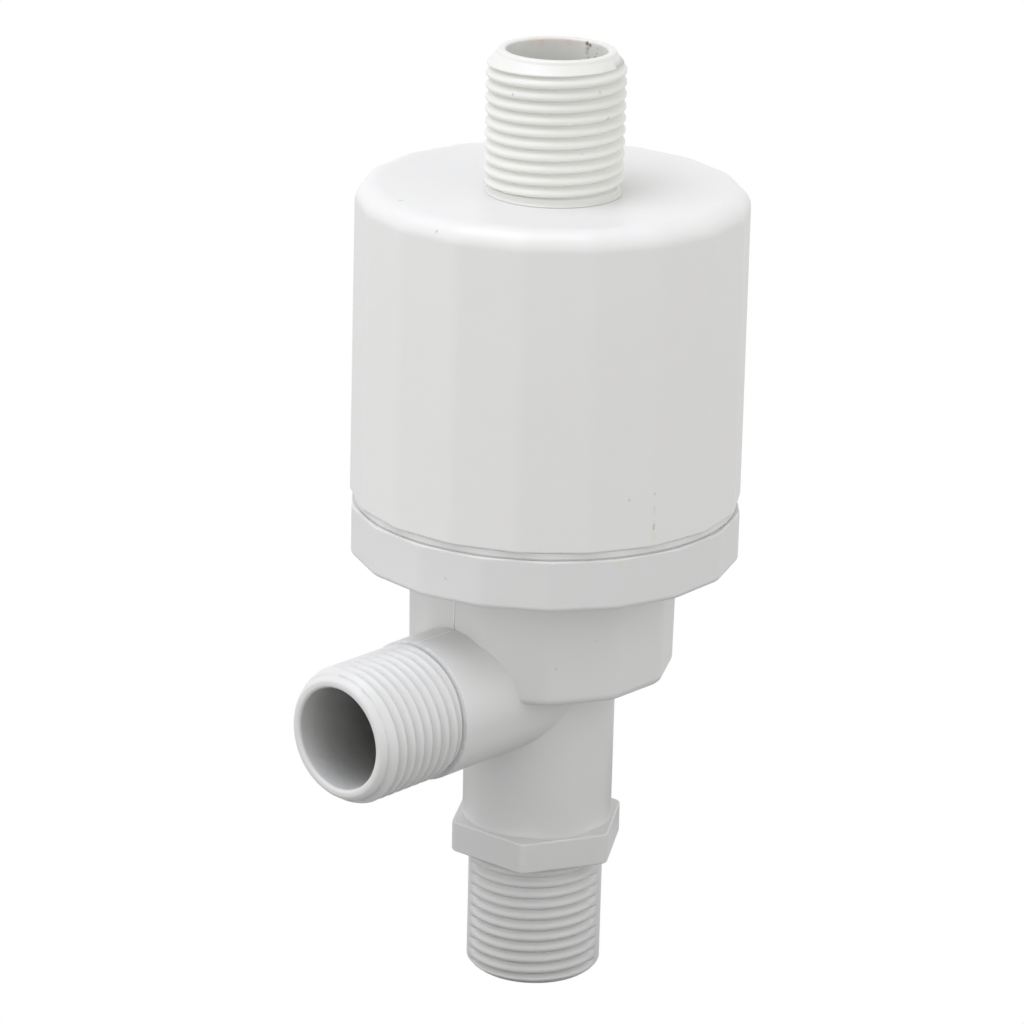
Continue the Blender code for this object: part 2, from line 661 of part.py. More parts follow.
def lever_outline():
    """Lever about its pivot: short arm level, round boss, round far end."""
    boss_gap = math.degrees(math.asin(LEVER_BAR / LEVER_BOSS_R))
    end_gap = math.degrees(math.asin(LEVER_BAR / LEVER_END_R))
    end_x = LONG_ARM * math.cos(math.radians(HALF_SWING))
    end_z = LONG_ARM * math.sin(math.radians(HALF_SWING))
    return [
        (-SHORT_ARM, -LEVER_BAR),
        *arc(0, 0, LEVER_BOSS_R, 180 + boss_gap, 360 + HALF_SWING - boss_gap,
             6),
        *arc(end_x, end_z, LEVER_END_R, 180 + HALF_SWING + end_gap,
             540 + HALF_SWING - end_gap, 12),
        *arc(0, 0, LEVER_BOSS_R, HALF_SWING + boss_gap, 180 - boss_gap, 6),
        (-SHORT_ARM, LEVER_BAR)]


def link_slot():
    """Cutter for the long hole in the long arm."""
    shape = cylinder(PIN_R + 0.14, LEVER_Y - HOLE_REACH, LEVER_Y + HOLE_REACH)
    # pull the two halves apart; the vertices on the axis stay
    for vert in shape.verts:
        if vert.co.x > 0:
            vert.co.x += LINK_SLOT_STRETCH
        elif vert.co.x < 0:
            vert.co.x -= LINK_SLOT_STRETCH
    return moved(
        shape,
        Matrix.Translation((PIVOT_X, 0, PIVOT_Z))
        @ Matrix.Rotation(-math.radians(HALF_SWING), 4, "Y")
        @ crosswise(LONG_ARM - LINK_SLOT_OFFSET, 0))


def make_lever():
    """Lever and pad, drawn with the valve shut (short arm level, long arm 10
    degrees up), then turned back to the float-down position."""
    axis = make_axis("lever_axis", PIVOT)
    outline = [(PIVOT_X + x, PIVOT_Z + z) for x, z in lever_outline()]
    lever = make_object("pilot_lever", extrude_outline(
        outline, LEVER_Y - LEVER_BAR, LEVER_Y + LEVER_BAR), NATURAL,
        origin=PIVOT, parent=axis)
    join(lever, cylinder(2.7, PIVOT_Z - 1.9, PIVOT_Z + LEVER_BAR, columns=20,
                         center=NOZZLE_PLACE), "pad_cup", PIVOT)
    cut(lever, cylinder(1.97, PIVOT_Z - 3.0, PIVOT_Z, columns=20,
                        center=NOZZLE_PLACE), "pad_pocket", PIVOT)
    cut(lever, cross_cutter(PIN_R + 0.12, PIVOT_X, PIVOT_Z), "lever_hole",
        PIVOT)
    cut(lever, link_slot(), "link_slot", PIVOT)
    pad = make_object("pilot_pad", cylinder(
        1.85, PIVOT_Z - 2.5, PIVOT_Z - 0.1, columns=20, center=NOZZLE_PLACE),
        RUBBER, origin=PIVOT, parent=axis)
    for part in (lever, pad):
        part.rotation_euler = (0, math.radians(SWING_DEG), 0)


def make_float():
    """Ring float with the link and pin that lift the lever's long arm."""
    placing = {"origin": FLOAT_ORIGIN,
               "parent": make_axis("float_slide_axis", FLOAT_ORIGIN)}
    make_object("ring_float", revolve(36, [
        (FLOAT_IN_R, FLOAT_Z0), (FLOAT_R - FLOAT_EDGE, FLOAT_Z0),
        (FLOAT_R, FLOAT_Z0 + FLOAT_EDGE), (FLOAT_R, FLOAT_Z1 - FLOAT_EDGE),
        (FLOAT_R - FLOAT_EDGE, FLOAT_Z1), (FLOAT_IN_R, FLOAT_Z1)]),
        FOAM, **placing)
    link = make_object("float_link", extrude_outline(
        box_outline(LINK_X0, LINK_X1, FLOAT_Z0 - 1.5, FLOAT_Z0 - 0.1),
        LEVER_Y - LINK_HALF, LEVER_Y + LINK_HALF), NATURAL, **placing)
    join_ears(link, LINK_X, LINK_Z, LINK_EAR_R, root_z=FLOAT_Z0 - 1.0,
              from_deg=180, label="link_ear", origin=FLOAT_ORIGIN)
    cut(link, cross_cutter(PIN_R + 0.1, LINK_X, LINK_Z), "link_hole",
        FLOAT_ORIGIN)
    make_object("link_pin", headed_pin(
        LINK_X, LINK_Z, tail=3.0, head_radius=1.6, head_end=3.5), STEEL,
        **placing)


def spring_coil():
    shape = bmesh.new()
    rings = []
    for n in range(SPRING_STEPS + 1):
        share = n / SPRING_STEPS
        turn = 2 * math.pi * SPRING_TURNS * share
        # the end turns lie flatter than the middle ones
        rise = share - SPRING_END_FLATTENING * math.sin(2 * math.pi * share)
        z = (SPRING_Z0 + SPRING_WIRE_R
             + (SPRING_Z1 - SPRING_Z0 - 2 * SPRING_WIRE_R) * rise)
        ring = []
        for i in range(SPRING_SIDES):
            angle = 2 * math.pi * i / SPRING_SIDES
            radius = SPRING_R + SPRING_WIRE_R * math.cos(angle)
            ring.append(shape.verts.new(
                (radius * math.cos(turn), radius * math.sin(turn),
                 z + SPRING_WIRE_R * math.sin(angle))))
        rings.append(ring)
    for low, high in zip(rings, rings[1:]):
        for i in range(SPRING_SIDES):
            j = (i + 1) % SPRING_SIDES
            shape.faces.new((low[i], low[j], high[j], high[i]))
    shape.faces.new(rings[0])
    shape.faces.new(list(reversed(rings[-1])))
    return shape


def make_piston():
    """Piston with its seal, seat disc, retainer, screw and spring."""
    placing = {"origin": PISTON_ORIGIN,
               "parent": make_axis("piston_slide_axis", PISTON_ORIGIN)}
    make_object("piston", revolve(36, [
        (1.25, PISTON_Z0), (PISTON_R - 0.3, PISTON_Z0),
        (PISTON_R, PISTON_Z0 + 0.3), (PISTON_R, 61.7), (8.6, 61.7),
        (8.6, 63.7), (PISTON_R, 63.7), (PISTON_R, PISTON_Z1),
        (6.6, PISTON_Z1), (6.6, 62.3), (2.8, 62.3), (2.8, 65.2),
        (1.25, 65.2)]), NATURAL, **placing)
    make_seal("piston_seal", major=9.4, minor=0.76, z=62.7, **placing)
    make_object("seat_disc", revolve(36, [
        (1.4, 57.2), (9.2, 57.2), (9.2, 59.5), (1.4, 59.5)]),
        RUBBER, **placing)
    make_object("seat_retainer", revolve(24, [
        (1.4, 56.0), (4.8, 56.0), (5.0, 56.2), (5.0, 57.1), (1.4, 57.1)]),
        STEEL, **placing)
    screw = make_object("retainer_screw", revolve(16, [
        (0, 54.4), (1.8, 54.4), (2.4, 54.9), (2.4, 55.9), (1.15, 55.9),
        (1.15, 64.6), (0, 64.6)], closed=False), STEEL, **placing)
    cut(screw, extrude_outline(box_outline(-2.8, 2.8, 53.8, 55.0),
                               -0.35, 0.35), "driver_slot", PISTON_ORIGIN)
    make_object("piston_spring", spring_coil(), STEEL, smooth_deg=70,
                **placing)


# -------------------------------------------------------------------- build
for old in list(bpy.data.objects):
    bpy.data.objects.remove(old, do_unlink=True)

WHITE = material("white_plastic", color=(0.80, 0.80, 0.79), roughness=0.42)
NATURAL = material("inner_plastic", color=(0.74, 0.74, 0.71), roughness=0.45)
FOAM = material("float_foam", color=(0.86, 0.86, 0.84), roughness=0.85)
RUBBER = material("black_rubber", color=(0.03, 0.03, 0.03), roughness=0.75)
STEEL = material("stainless_steel", color=(0.62, 0.62, 0.60), roughness=0.28,
                 metallic=1.0)
BRASS = material("brass", color=(0.72, 0.53, 0.25), roughness=0.30,
                 metallic=1.0)

make_outlet_nipple()
make_body()
make_seat_ring()
make_base_flange()
make_float_cover()
make_top_inlet()
make_bonnet()
make_pilot_nozzle()
make_lever_bracket()
make_lever()
make_float()
make_piston()
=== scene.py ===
"""Looks of a float valve, built around its CAD frame.

The valve stands upright on its outlet nipple. From the foot up come the outlet
nipple, the valve body with its side inlet along -Y, the base flange, the float
cover and the top inlet tube. Sizes are in millimetres about the main axis
(x = 0, y = 0), with z up from the outlet end; meshes are made in metres.
"""
import math

import bpy
import numpy as np
from mathutils import Matrix, Vector


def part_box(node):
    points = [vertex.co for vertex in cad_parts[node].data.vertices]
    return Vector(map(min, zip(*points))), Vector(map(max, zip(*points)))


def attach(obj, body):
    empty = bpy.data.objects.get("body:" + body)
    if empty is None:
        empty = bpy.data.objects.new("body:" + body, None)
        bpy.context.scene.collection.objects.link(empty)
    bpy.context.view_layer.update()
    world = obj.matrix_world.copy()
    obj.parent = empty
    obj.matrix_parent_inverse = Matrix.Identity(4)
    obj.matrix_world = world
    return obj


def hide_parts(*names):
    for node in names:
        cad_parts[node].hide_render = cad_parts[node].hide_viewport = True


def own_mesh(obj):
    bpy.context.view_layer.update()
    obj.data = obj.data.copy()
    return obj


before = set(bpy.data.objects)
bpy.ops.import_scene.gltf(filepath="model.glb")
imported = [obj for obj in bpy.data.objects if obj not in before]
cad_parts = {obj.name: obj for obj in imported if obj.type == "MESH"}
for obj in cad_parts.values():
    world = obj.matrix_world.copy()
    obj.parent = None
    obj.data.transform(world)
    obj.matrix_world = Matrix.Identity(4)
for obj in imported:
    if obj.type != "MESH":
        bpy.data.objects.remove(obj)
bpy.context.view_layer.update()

MM = 0.001

# ------------------------------------------------------ places taken from the frame


def frame_box(node):
    low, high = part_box(node)
    return low / MM, high / MM


tube_low, tube_high = frame_box("top_inlet_tube")
cover_low, cover_high = frame_box("float_cover")
flange_low, _ = frame_box("base_flange")
body_low, body_high = frame_box("valve_body")

AXIS = Vector(((tube_low.x + tube_high.x) / 2, (tube_low.y + tube_high.y) / 2, 0.0))
AXIS.x, AXIS.y = round(AXIS.x, 2), round(AXIS.y, 2)
TOP = tube_high.z
COVER_Z0, COVER_Z1 = cover_low.z, cover_high.z
FLANGE_Z0 = flange_low.z
PIPE_Z0, NECK_Z1 = body_low.z, body_high.z
BRANCH_END = AXIS.y - body_low.y     # the side inlet's mouth, from the main axis

# ------------------------------------------------------------------- shared sizes
PITCH, THREAD_R = 1.814, 10.4775     # all three pipe threads: pitch, crest radius
FRONT_DEG = -48.6                    # side of the valve that the camera faces
BRANCH_Z, BRANCH_R = 49.8, 10.8      # the side inlet's axis height and outer radius
BRANCH_SLEEVE = 28.25                # its thread starts here, from the main axis
BORE_R = 7.8                         # its bore
CUP_A, CUP_Z0, CUP_Z1 = 20.0, 50.35, 68.9     # body's cup: apothem, bottom, top
PIPE_R = 11.61                       # body's pipe below the cup
OUTLET_BORE_R = 7.2
TUBE_BORE_R = 7.59

# pilot lever: its pivot, its length to the link pin, and its angle from level
LEVER_Y = 15.0
PIVOT_X, PIVOT_Z = -7.5, 87.0
LEVER_LENGTH, LEVER_TILT = 22.0, 10.0
NOZZLE_X = PIVOT_X - 6.0
NOZZLE_AT = (NOZZLE_X, LEVER_Y)
REACH_X = LEVER_LENGTH * math.cos(math.radians(LEVER_TILT))
REACH_Z = LEVER_LENGTH * math.sin(math.radians(LEVER_TILT))
LINK_X, LINK_Z = PIVOT_X + REACH_X, PIVOT_Z - REACH_Z

# ------------------------------------------------------------------ mesh building


def smooth_mesh(name, verts, faces):
    """Smooth-shaded mesh, faces outwards, from points in mm about the main axis."""
    verts = (np.asarray(verts, float).reshape(-1, 3) + np.array(AXIS)) * MM
    mesh = bpy.data.meshes.new(name)
    mesh.vertices.add(len(verts))
    mesh.vertices.foreach_set("co", verts.astype(np.float32).ravel())
    sizes = np.array([len(face) for face in faces])
    corners = np.fromiter((i for face in faces for i in face), int, sizes.sum())
    mesh.loops.add(len(corners))
    mesh.loops.foreach_set("vertex_index", corners.astype(np.int32))
    mesh.polygons.add(len(sizes))
    starts = np.concatenate(([0], np.cumsum(sizes)[:-1]))
    mesh.polygons.foreach_set("loop_start", starts.astype(np.int32))
    mesh.polygons.foreach_set("loop_total", sizes.astype(np.int32))
    mesh.polygons.foreach_set("use_smooth", np.ones(len(sizes), bool))
    mesh.update(calc_edges=True)
    mesh.validate()
    mesh.calc_loop_triangles()
    triangles = np.empty(len(mesh.loop_triangles) * 3, np.int32)
    mesh.loop_triangles.foreach_get("vertices", triangles)
    tri = verts[triangles.reshape(-1, 3)] - verts.mean(0)
    volume = np.einsum("ij,ij->", tri[:, 0], np.cross(tri[:, 1], tri[:, 2]))
    if volume < 0:
        mesh.flip_normals()
    return mesh


def add(mesh, material, body="housing"):
    """Puts a mesh in the scene. A name in _fine replaces that CAD piece."""
    name = mesh.name
    obj = bpy.data.objects.new(name, mesh)
    bpy.context.scene.collection.objects.link(obj)
    mesh.materials.append(material)
    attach(obj, body)
    if name.endswith("_fine"):
        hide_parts(name.removesuffix("_fine"))
    return obj


def clamp(value):
    return min(max(value, 0.0), 1.0)


def section(points, closed=True, arc=7, hold=0.05):
    """Rounds the corners of a section. points: (r, z) or (r, z, fillet) in order;
    each rounded corner gets an arc and a holding point on either side."""
    corners = [Vector(point[:2]) for point in points]
    out = []
    count = len(corners)
    for i, corner in enumerate(corners):
        fillet = points[i][2] if len(points[i]) > 2 else 0.0
        if fillet <= 0 or (not closed and i in (0, count - 1)):
            out.append((corner.x, corner.y))
            continue
        to_last = corners[i - 1] - corner
        to_next = corners[(i + 1) % count] - corner
        back, ahead = to_last.normalized(), to_next.normalized()
        angle = math.acos(max(-1.0, min(1.0, back.dot(ahead))))
        if angle > math.pi - 0.02:
            out.append((corner.x, corner.y))
            continue
        cut = fillet / math.tan(angle / 2)
        cut = min(cut, to_last.length * 0.48, to_next.length * 0.48)
        fillet = cut * math.tan(angle / 2)
        centre = corner + (back + ahead).normalized() * (fillet / math.sin(angle / 2))
        first, last = corner + back * cut, corner + ahead * cut
        gap = min(hold, cut * 0.5, (to_last.length - cut) * 0.3,
                  (to_next.length - cut) * 0.3)
        out.append(tuple(first + back * gap))
        start = math.atan2(first.y - centre.y, first.x - centre.x)
        end = math.atan2(last.y - centre.y, last.x - centre.x)
        sweep = (end - start + math.pi) % (2 * math.pi) - math.pi
        for k in range(arc + 1):
            t = start + sweep * k / arc
            out.append((centre.x + fillet * math.cos(t),
                        centre.y + fillet * math.sin(t)))
        out.append(tuple(last + ahead * gap))
    return out


class Polygon:
    """Regular polygon with rounded corners, as a radius over the angle."""

    def __init__(self, sides, corner_deg, rounding):
        self.sides, self.step = sides, 360.0 / sides
        self.half = math.radians(self.step / 2)
        self.corner, self.rounding = corner_deg, rounding

    def corner_arc(self, apothem):
        """Corner radius, the distance of its centre, and its half angle."""
        rho = min(self.rounding, apothem * 0.8)
        centre = (apothem - rho) / math.cos(self.half)
        reach = math.atan2(rho * math.sin(self.half),
                           centre + rho * math.cos(self.half))
        return rho, centre, reach

    def radius(self, deg, apothem):
        rho, centre, reach = self.corner_arc(apothem)
        offset = (np.asarray(deg) - self.corner + self.step / 2) % self.step
        beta = np.radians(np.abs(offset - self.step / 2))   # from the corner
        flat = apothem / np.cos(self.half - np.minimum(beta, self.half))
        chord = np.sqrt(np.maximum(rho * rho - (centre * np.sin(beta)) ** 2, 0))
        return np.where(beta < reach, centre * np.cos(beta) + chord, flat)

    def columns(self, apothem, arc, between):
        """Angles with more columns at the corners."""
        reach = math.degrees(self.corner_arc(apothem)[2])
        offsets = [reach * (2 * k / arc - 1) for k in range(arc + 1)]
        rest = self.step - 2 * reach
        shares = [0.03, *(k / between for k in range(1, between)), 0.97]
        offsets += [reach + rest * share for share in shares]
        return np.array([self.corner + self.step * side + offset
                         for side in range(self.sides) for offset in offsets])


def circle_columns(count, start=0.0):
    return np.array([start + 360.0 * k / count for k in range(count)])


def ring_points(angles, r, z, shape=None):
    """One ring of points; with a shape, r is its apothem."""
    rad = np.radians(angles)
    radii = shape.radius(angles, r) if shape else np.full(len(angles), r)
    return np.stack([radii * np.cos(rad), radii * np.sin(rad),
                     np.full(len(angles), z)], 1)


def lay_rings(stations, angles, tips=False):
    """Points and rings of point numbers. stations: (r, z) or (r, z, shape). With
    tips both ends are single points; else the first ring comes again at the end."""
    verts, rings = [], []
    for k, station in enumerate(stations):
        if tips and k in (0, len(stations) - 1):
            points = [(0.0, 0.0, station[1])]
        else:
            points = ring_points(angles, *station)
        rings.append(list(range(len(verts), len(verts) + len(points))))
        verts.extend(points)
    if not tips:
        rings.append(rings[0])
    return verts, rings


def strip(low, high):
    """Faces between two rings, either of which may be a single point."""
    next_low, next_high = low[1:] + low[:1], high[1:] + high[:1]
    if len(low) == 1:
        return [(low[0], j, i) for i, j in zip(high, next_high)]
    if len(high) == 1:
        return [(i, j, high[0]) for i, j in zip(low, next_low)]
    return list(zip(low, next_low, next_high, high))


def turned(stations, angles, closed=True):
    """Points and faces of a turned body; an open section ends on the axis."""
    verts, rings = lay_rings(stations, angles, tips=not closed)
    faces = []
    for low, high in zip(rings, rings[1:]):
        faces += strip(low, high)
    return np.array(verts), faces


def moved(verts, matrix):
    return verts @ np.array(matrix.to_3x3()).T + np.array(matrix.translation)


def turned_mesh(name, stations, angles, closed=True, at=(0, 0), turn=None):
    verts, faces = turned(stations, angles, closed)
    verts = verts + np.array((*at, 0.0))
    if turn is not None:
        verts = moved(verts, turn)
    return smooth_mesh(name, verts, faces)


def lathed(name, points, cols, closed=False, arc=4, hold=0.03, **place):
    """Mesh turned from a section of (r, z, fillet)."""
    stations = section(points, closed, arc, hold)
    return turned_mesh(name, stations, circle_columns(cols), closed, **place)


def towards(direction, origin=(0, 0, 0)):
    """Matrix that lays +Z along a direction and moves the origin."""
    turn = Vector((0, 0, 1)).rotation_difference(Vector(direction))
    return Matrix.Translation(Vector(origin)) @ turn.to_matrix().to_4x4()


def rod(radius, z0, z1, cols=32, at=(0, 0), turn=None, edge=0.0):
    """Closed cylinder along Z, used as a carving tool."""
    points = [(0, z0), (radius, z0), (radius, z1), (0, z1)]
    if edge:
        points[1:3] = [(radius, z0, edge), (radius, z1, edge)]
        points = section(points, closed=False, arc=3, hold=0.02)
    return turned_mesh("tool", points, circle_columns(cols), False, at, turn)


def cross_hole(radius, x, z):
    """Rod along Y through the lever's parts."""
    return rod(radius, 10.0, 20.0, cols=40, turn=towards((0, 1, 0), (x, 0, z)))


def prism(points, low, high, plane="xy", name="tool"):
    """Outline extruded: in XY between two heights, or in XZ between two Ys.
    The outline runs counter-clockwise seen from +Z, or from -Y."""
    n = len(points)
    verts = [(a, b, level) if plane == "xy" else (a, level, b)
             for level in (low, high) for a, b in points]
    bottom, top = list(range(n)), list(range(n, 2 * n))
    faces = [tuple(reversed(bottom)), tuple(top)] + strip(bottom, top)
    if plane == "xz":
        faces = [tuple(reversed(face)) for face in faces]
    return smooth_mesh(name, verts, faces)


def rectangle(a0, a1, b0, b1):
    return [(a0, b0), (a1, b0), (a1, b1), (a0, b1)]


def arc_points(x, z, radius, start, end, steps):
    """Points on an arc, with its angles in degrees."""
    angles = [math.radians(start + (end - start) * k / steps) for k in range(steps + 1)]
    return [(x + radius * math.cos(t), z + radius * math.sin(t)) for t in angles]


def rotate_mesh(mesh, rotation, pivot=(0, 0, 0)):
    """Turns a mesh's points by a 3x3 array about a pivot in mm."""
    points = np.empty(len(mesh.vertices) * 3, np.float32)
    mesh.vertices.foreach_get("co", points)
    points = points.reshape(-1, 3) / MM - np.array(AXIS)
    pivot = np.array(pivot)
    points = ((points - pivot) @ rotation.T + pivot + np.array(AXIS)) * MM
    mesh.vertices.foreach_set("co", points.astype(np.float32).ravel())
    mesh.update()


def carve(mesh, cut, join=()):
    """Joins closed meshes to a closed mesh, then cuts others out of it."""
    link = bpy.context.scene.collection.objects.link
    obj = bpy.data.objects.new("carve_body", mesh)
    link(obj)
    used = [obj]
    for operation, tools in (("UNION", join), ("DIFFERENCE", cut)):
        for tool_mesh in tools:
            tool = bpy.data.objects.new("carve_tool", tool_mesh)
            link(tool)
            mod = obj.modifiers.new("carve", "BOOLEAN")
            mod.operation, mod.solver, mod.object = operation, "EXACT", tool
            used.append(tool)
    bpy.context.view_layer.update()
    graph = bpy.context.evaluated_depsgraph_get()
    out = bpy.data.meshes.new_from_object(obj.evaluated_get(graph))
    name = mesh.name
    for temporary in used:
        data = temporary.data
        bpy.data.objects.remove(temporary)
        bpy.data.meshes.remove(data)
    out.name = name
    out.materials.clear()
    out.set_sharp_from_angle(angle=math.radians(32.0))
    return out


# ------------------------------------------------------------------ pipe threads
# rows of points up one pitch, closer together near the root
THREAD_ROWS = (0.0, 0.035, 0.075, 0.125, 0.19, 0.27, 0.37, 0.5,
               0.63, 0.73, 0.81, 0.875, 0.925, 0.965)


def thread_form(part, depth, above=2.6, under=1.5, lean=0.8, soft=0.010):
    """Moulded pipe thread: a rounded ridge that leans down and a round root.
    `part` is the share of the pitch from the middle of the root. The flank
    above the root is steep (above), the one below it is hollow (under)."""
    share = (part % 1.0) ** lean
    rise = abs((share + 0.5) % 1.0 - 0.5) * 2      # 0 at root, 1 at crest
    rise = math.sqrt((rise * rise + soft) / (1 + soft))
    root = 1 - math.sqrt(soft / (1 + soft))
    return THREAD_R - depth * root ** above * (
        (1 - rise) / root) ** (above if share < 0.5 else under)


def fade(deg, seam, inner, outer):
    """0 at a mould parting line, 1 away from it: the grooves of a two-part
    mould run out there so that it opens."""
    offset = abs((deg - seam + 180) % 360 - 180)
    t = clamp((offset - inner) / (outer - inner))
    return t * t * (3 - 2 * t)


def threaded(angles, below, above, root_z, root_deg, radius):
    """Like a closed turned(), with a helical ridge between the stations below
    and above. radius(part, z, deg) gives the ridge's surface; a root passes
    through root_z at root_deg."""
    verts, rings = lay_rings(below + above, angles)
    rows = len(THREAD_ROWS)
    z_low, z_high = below[-1][1], above[0][1]
    first = int(math.floor((z_low - root_z) / PITCH)) - 2
    last = int(math.ceil((z_high - root_z) / PITCH)) + 2
    columns = []     # for each angle, point numbers by their row on the helix
    for deg in angles:
        column = {}
        cos, sin = math.cos(math.radians(deg)), math.sin(math.radians(deg))
        for turn in range(first, last):
            for row, part in enumerate(THREAD_ROWS):
                z = root_z + PITCH * ((deg - root_deg) / 360.0 + turn + part)
                if z_low + 0.02 < z < z_high - 0.02:
                    r = radius(part, z, deg)
                    column[turn * rows + row] = len(verts)
                    verts.append((r * cos, r * sin, z))
        columns.append(column)
    faces = []
    for k, (low, high) in enumerate(zip(rings, rings[1:])):
        if k != len(below) - 1:
            faces += strip(low, high)
            continue
        for i, here in enumerate(columns):
            j = (i + 1) % len(angles)
            # past the last column the rows are one turn further on
            there = columns[j] if j else {row - rows: v for row, v in columns[0].items()}
            both = sorted(set(here) & set(there))
            start, end = both[0], both[-1]
            low_there = [there[row] for row in sorted(there) if row < start]
            low_here = [here[row] for row in sorted(here) if row < start]
            top_there = [there[row] for row in sorted(there) if row > end]
            top_here = [here[row] for row in sorted(here) if row > end]
            faces.append((low[i], low[j], *low_there, there[start], here[start],
                          *reversed(low_here)))
            for row in both[:-1]:
                faces.append((here[row], there[row], there[row + 1], here[row + 1]))
            faces.append((here[end], there[end], *top_there, high[j], high[i],
                          *reversed(top_here)))
    return np.array(verts), faces


# ------------------------------------------------------------------ materials


class Graph:
    """Short names for building the nodes of a world or a material."""

    def __init__(self, owner):
        owner.use_nodes = True
        self.nodes, self.links = owner.node_tree.nodes, owner.node_tree.links

    def feed(self, socket, value):
        """Links a socket to an output, or sets its value."""
        if isinstance(value, bpy.types.NodeSocket):
            self.links.new(value, socket)
        elif socket.type == "RGBA":
            socket.default_value = (*value[:3], 1.0)
        else:
            socket.default_value = value

    def node(self, kind, inputs, output=0, **settings):
        """New node with inputs by name or number; gives one output, or all for None."""
        node = self.nodes.new("ShaderNode" + kind)
        for key, value in settings.items():
            setattr(node, key, value)
        for key, value in inputs.items():
            self.feed(node.inputs[key], value)
        return node.outputs if output is None else node.outputs[output]

    def math(self, operation, *values):
        return self.node("Math", dict(enumerate(values)), operation=operation)

    def times(self, value, factor):
        return self.math("MULTIPLY", value, factor)

    def vector(self, operation, *values, output=0):
        return self.node("VectorMath", dict(enumerate(values)), output,
                         operation=operation)

    def blend(self, factor, first, second):
        """Mix of two shaders."""
        return self.node("MixShader", {0: factor, 1: first, 2: second})


class Material(Graph):
    """A material whose textures run in millimetres about the main axis."""

    def __init__(self, name):
        self.material = bpy.data.materials.new(name)
        super().__init__(self.material)
        self.bsdf = self.nodes["Principled BSDF"]
        metres = self.node("TexCoord", {}, "Object")
        scaled = self.node("VectorMath", {0: metres, "Scale": 1000.0}, operation="SCALE")
        self.place = self.vector("SUBTRACT", scaled, AXIS)

    def noise(self, scale, detail=2.0, roughness=0.5, vector=None):
        return self.node("TexNoise", {
            "Scale": scale, "Detail": detail, "Roughness": roughness,
            "Vector": vector or self.place}, "Fac")

    def cells(self, scale):
        return self.node("TexVoronoi", {"Scale": scale, "Vector": self.place},
                         "Distance")

    def ramp(self, value, start, end, low=0.0, high=1.0):
        """low to high as the value goes from start to end."""
        return self.node("MapRange", {
            "Value": value, "From Min": start, "From Max": end,
            "To Min": low, "To Max": high}, "Result")

    def mix(self, factor, first, second):
        """Mix of two colours."""
        return self.node("Mix", {0: factor, 6: first, 7: second}, 2, data_type="RGBA")

    def put(self, inputs):
        """Sets inputs of the Principled shader."""
        for key, value in inputs.items():
            self.feed(self.bsdf.inputs[key], value)

    def relief(self, *layers):
        """Bump from the sum of (value, depth in mm)."""
        value, depth = layers[0]
        height = self.times(value, depth)
        for value, depth in layers[1:]:
            height = self.math("MULTIPLY_ADD", value, depth, height)
        self.put({"Normal": self.node("Bump", {
            "Strength": 1.0, "Distance": 0.001, "Height": height}, "Normal")})


def plastic(name, color, marks=(), rough=0.36, grain=1.0, subsurface=0.12,
            tint=(0.93, 0.91, 0.86)):
    """Moulded plastic: faint mottling, fine skin texture, uneven polish, and a
    few small marks, some of them painted shade or highlight. marks: (x, y, z, radius,
    colour, strength)."""
    g = Material(name)
    # broad mottling of the moulding, and finer flow streaks
    mottle = g.noise(scale=0.055, detail=3.0, roughness=0.55)
    fine = g.noise(scale=0.9, detail=4.0, roughness=0.6)
    warm = tuple(c * t for c, t in zip(color, tint))
    darker = tuple(c * 0.86 for c in color)
    base = g.mix(g.times(g.ramp(mottle, start=0.35, end=0.75), 0.16), color, warm)
    base = g.mix(g.times(g.ramp(fine, start=0.52, end=0.80), 0.045), base, darker)
    # sparse specks
    speck = g.math("LESS_THAN", g.cells(scale=0.16), 0.016)
    base = g.mix(g.times(speck, 0.35), base, (0.40, 0.36, 0.30))
    for x, y, z, radius, tone, strength in marks:
        distance = g.vector("DISTANCE", g.place, (x, y, z), output="Value")
        wobble = min(radius, 1.2)      # makes the mark's edge uneven
        edge = g.math("MULTIPLY_ADD", fine, wobble * 0.9, -wobble * 0.45)
        near = g.ramp(g.math("ADD", distance, edge), start=radius, end=radius * 0.35)
        base = g.mix(g.times(near, strength), base, tone)
    polish = g.noise(scale=0.25, detail=3.0)
    g.put({"Base Color": base,
           "Roughness": g.math("MULTIPLY_ADD", polish, 0.16, rough - 0.08),
           "IOR": 1.52,
           "Subsurface Weight": subsurface,
           "Subsurface Radius": (1.0, 0.85, 0.7),
           "Subsurface Scale": 0.0012})
    # broad waviness, a matt grain, and faint unevenness between them
    g.relief((g.noise(scale=0.12, detail=1.0), 0.030 * grain),
             (g.noise(scale=6.0, detail=3.0), 0.0022 * grain),
             (g.noise(scale=1.6, detail=2.0), 0.0035 * grain))
    return g.material


def foam_material():
    """Closed-cell foam: fused beads with darker seams between them."""
    g = Material("float_foam_beads")
    distance = g.cells(scale=0.42)
    seam = g.ramp(distance, start=0.42, end=0.80)
    blot = g.ramp(g.noise(scale=0.10, detail=3.0), start=0.35, end=0.75)
    base = g.mix(g.times(blot, 0.5), (0.90, 0.90, 0.885), (0.84, 0.835, 0.80))
    base = g.mix(g.times(seam, 0.45), base, (0.62, 0.61, 0.58))
    g.put({"Base Color": base,
           "Roughness": g.ramp(g.noise(scale=1.5), 0.3, 0.7, low=0.78, high=0.92),
           "Subsurface Weight": 0.15,
           "Subsurface Scale": 0.001})
    g.relief((g.ramp(distance, start=0.30, end=0.85), -0.16),
             (g.noise(scale=5.0, detail=3.0), 0.02))
    return g.material


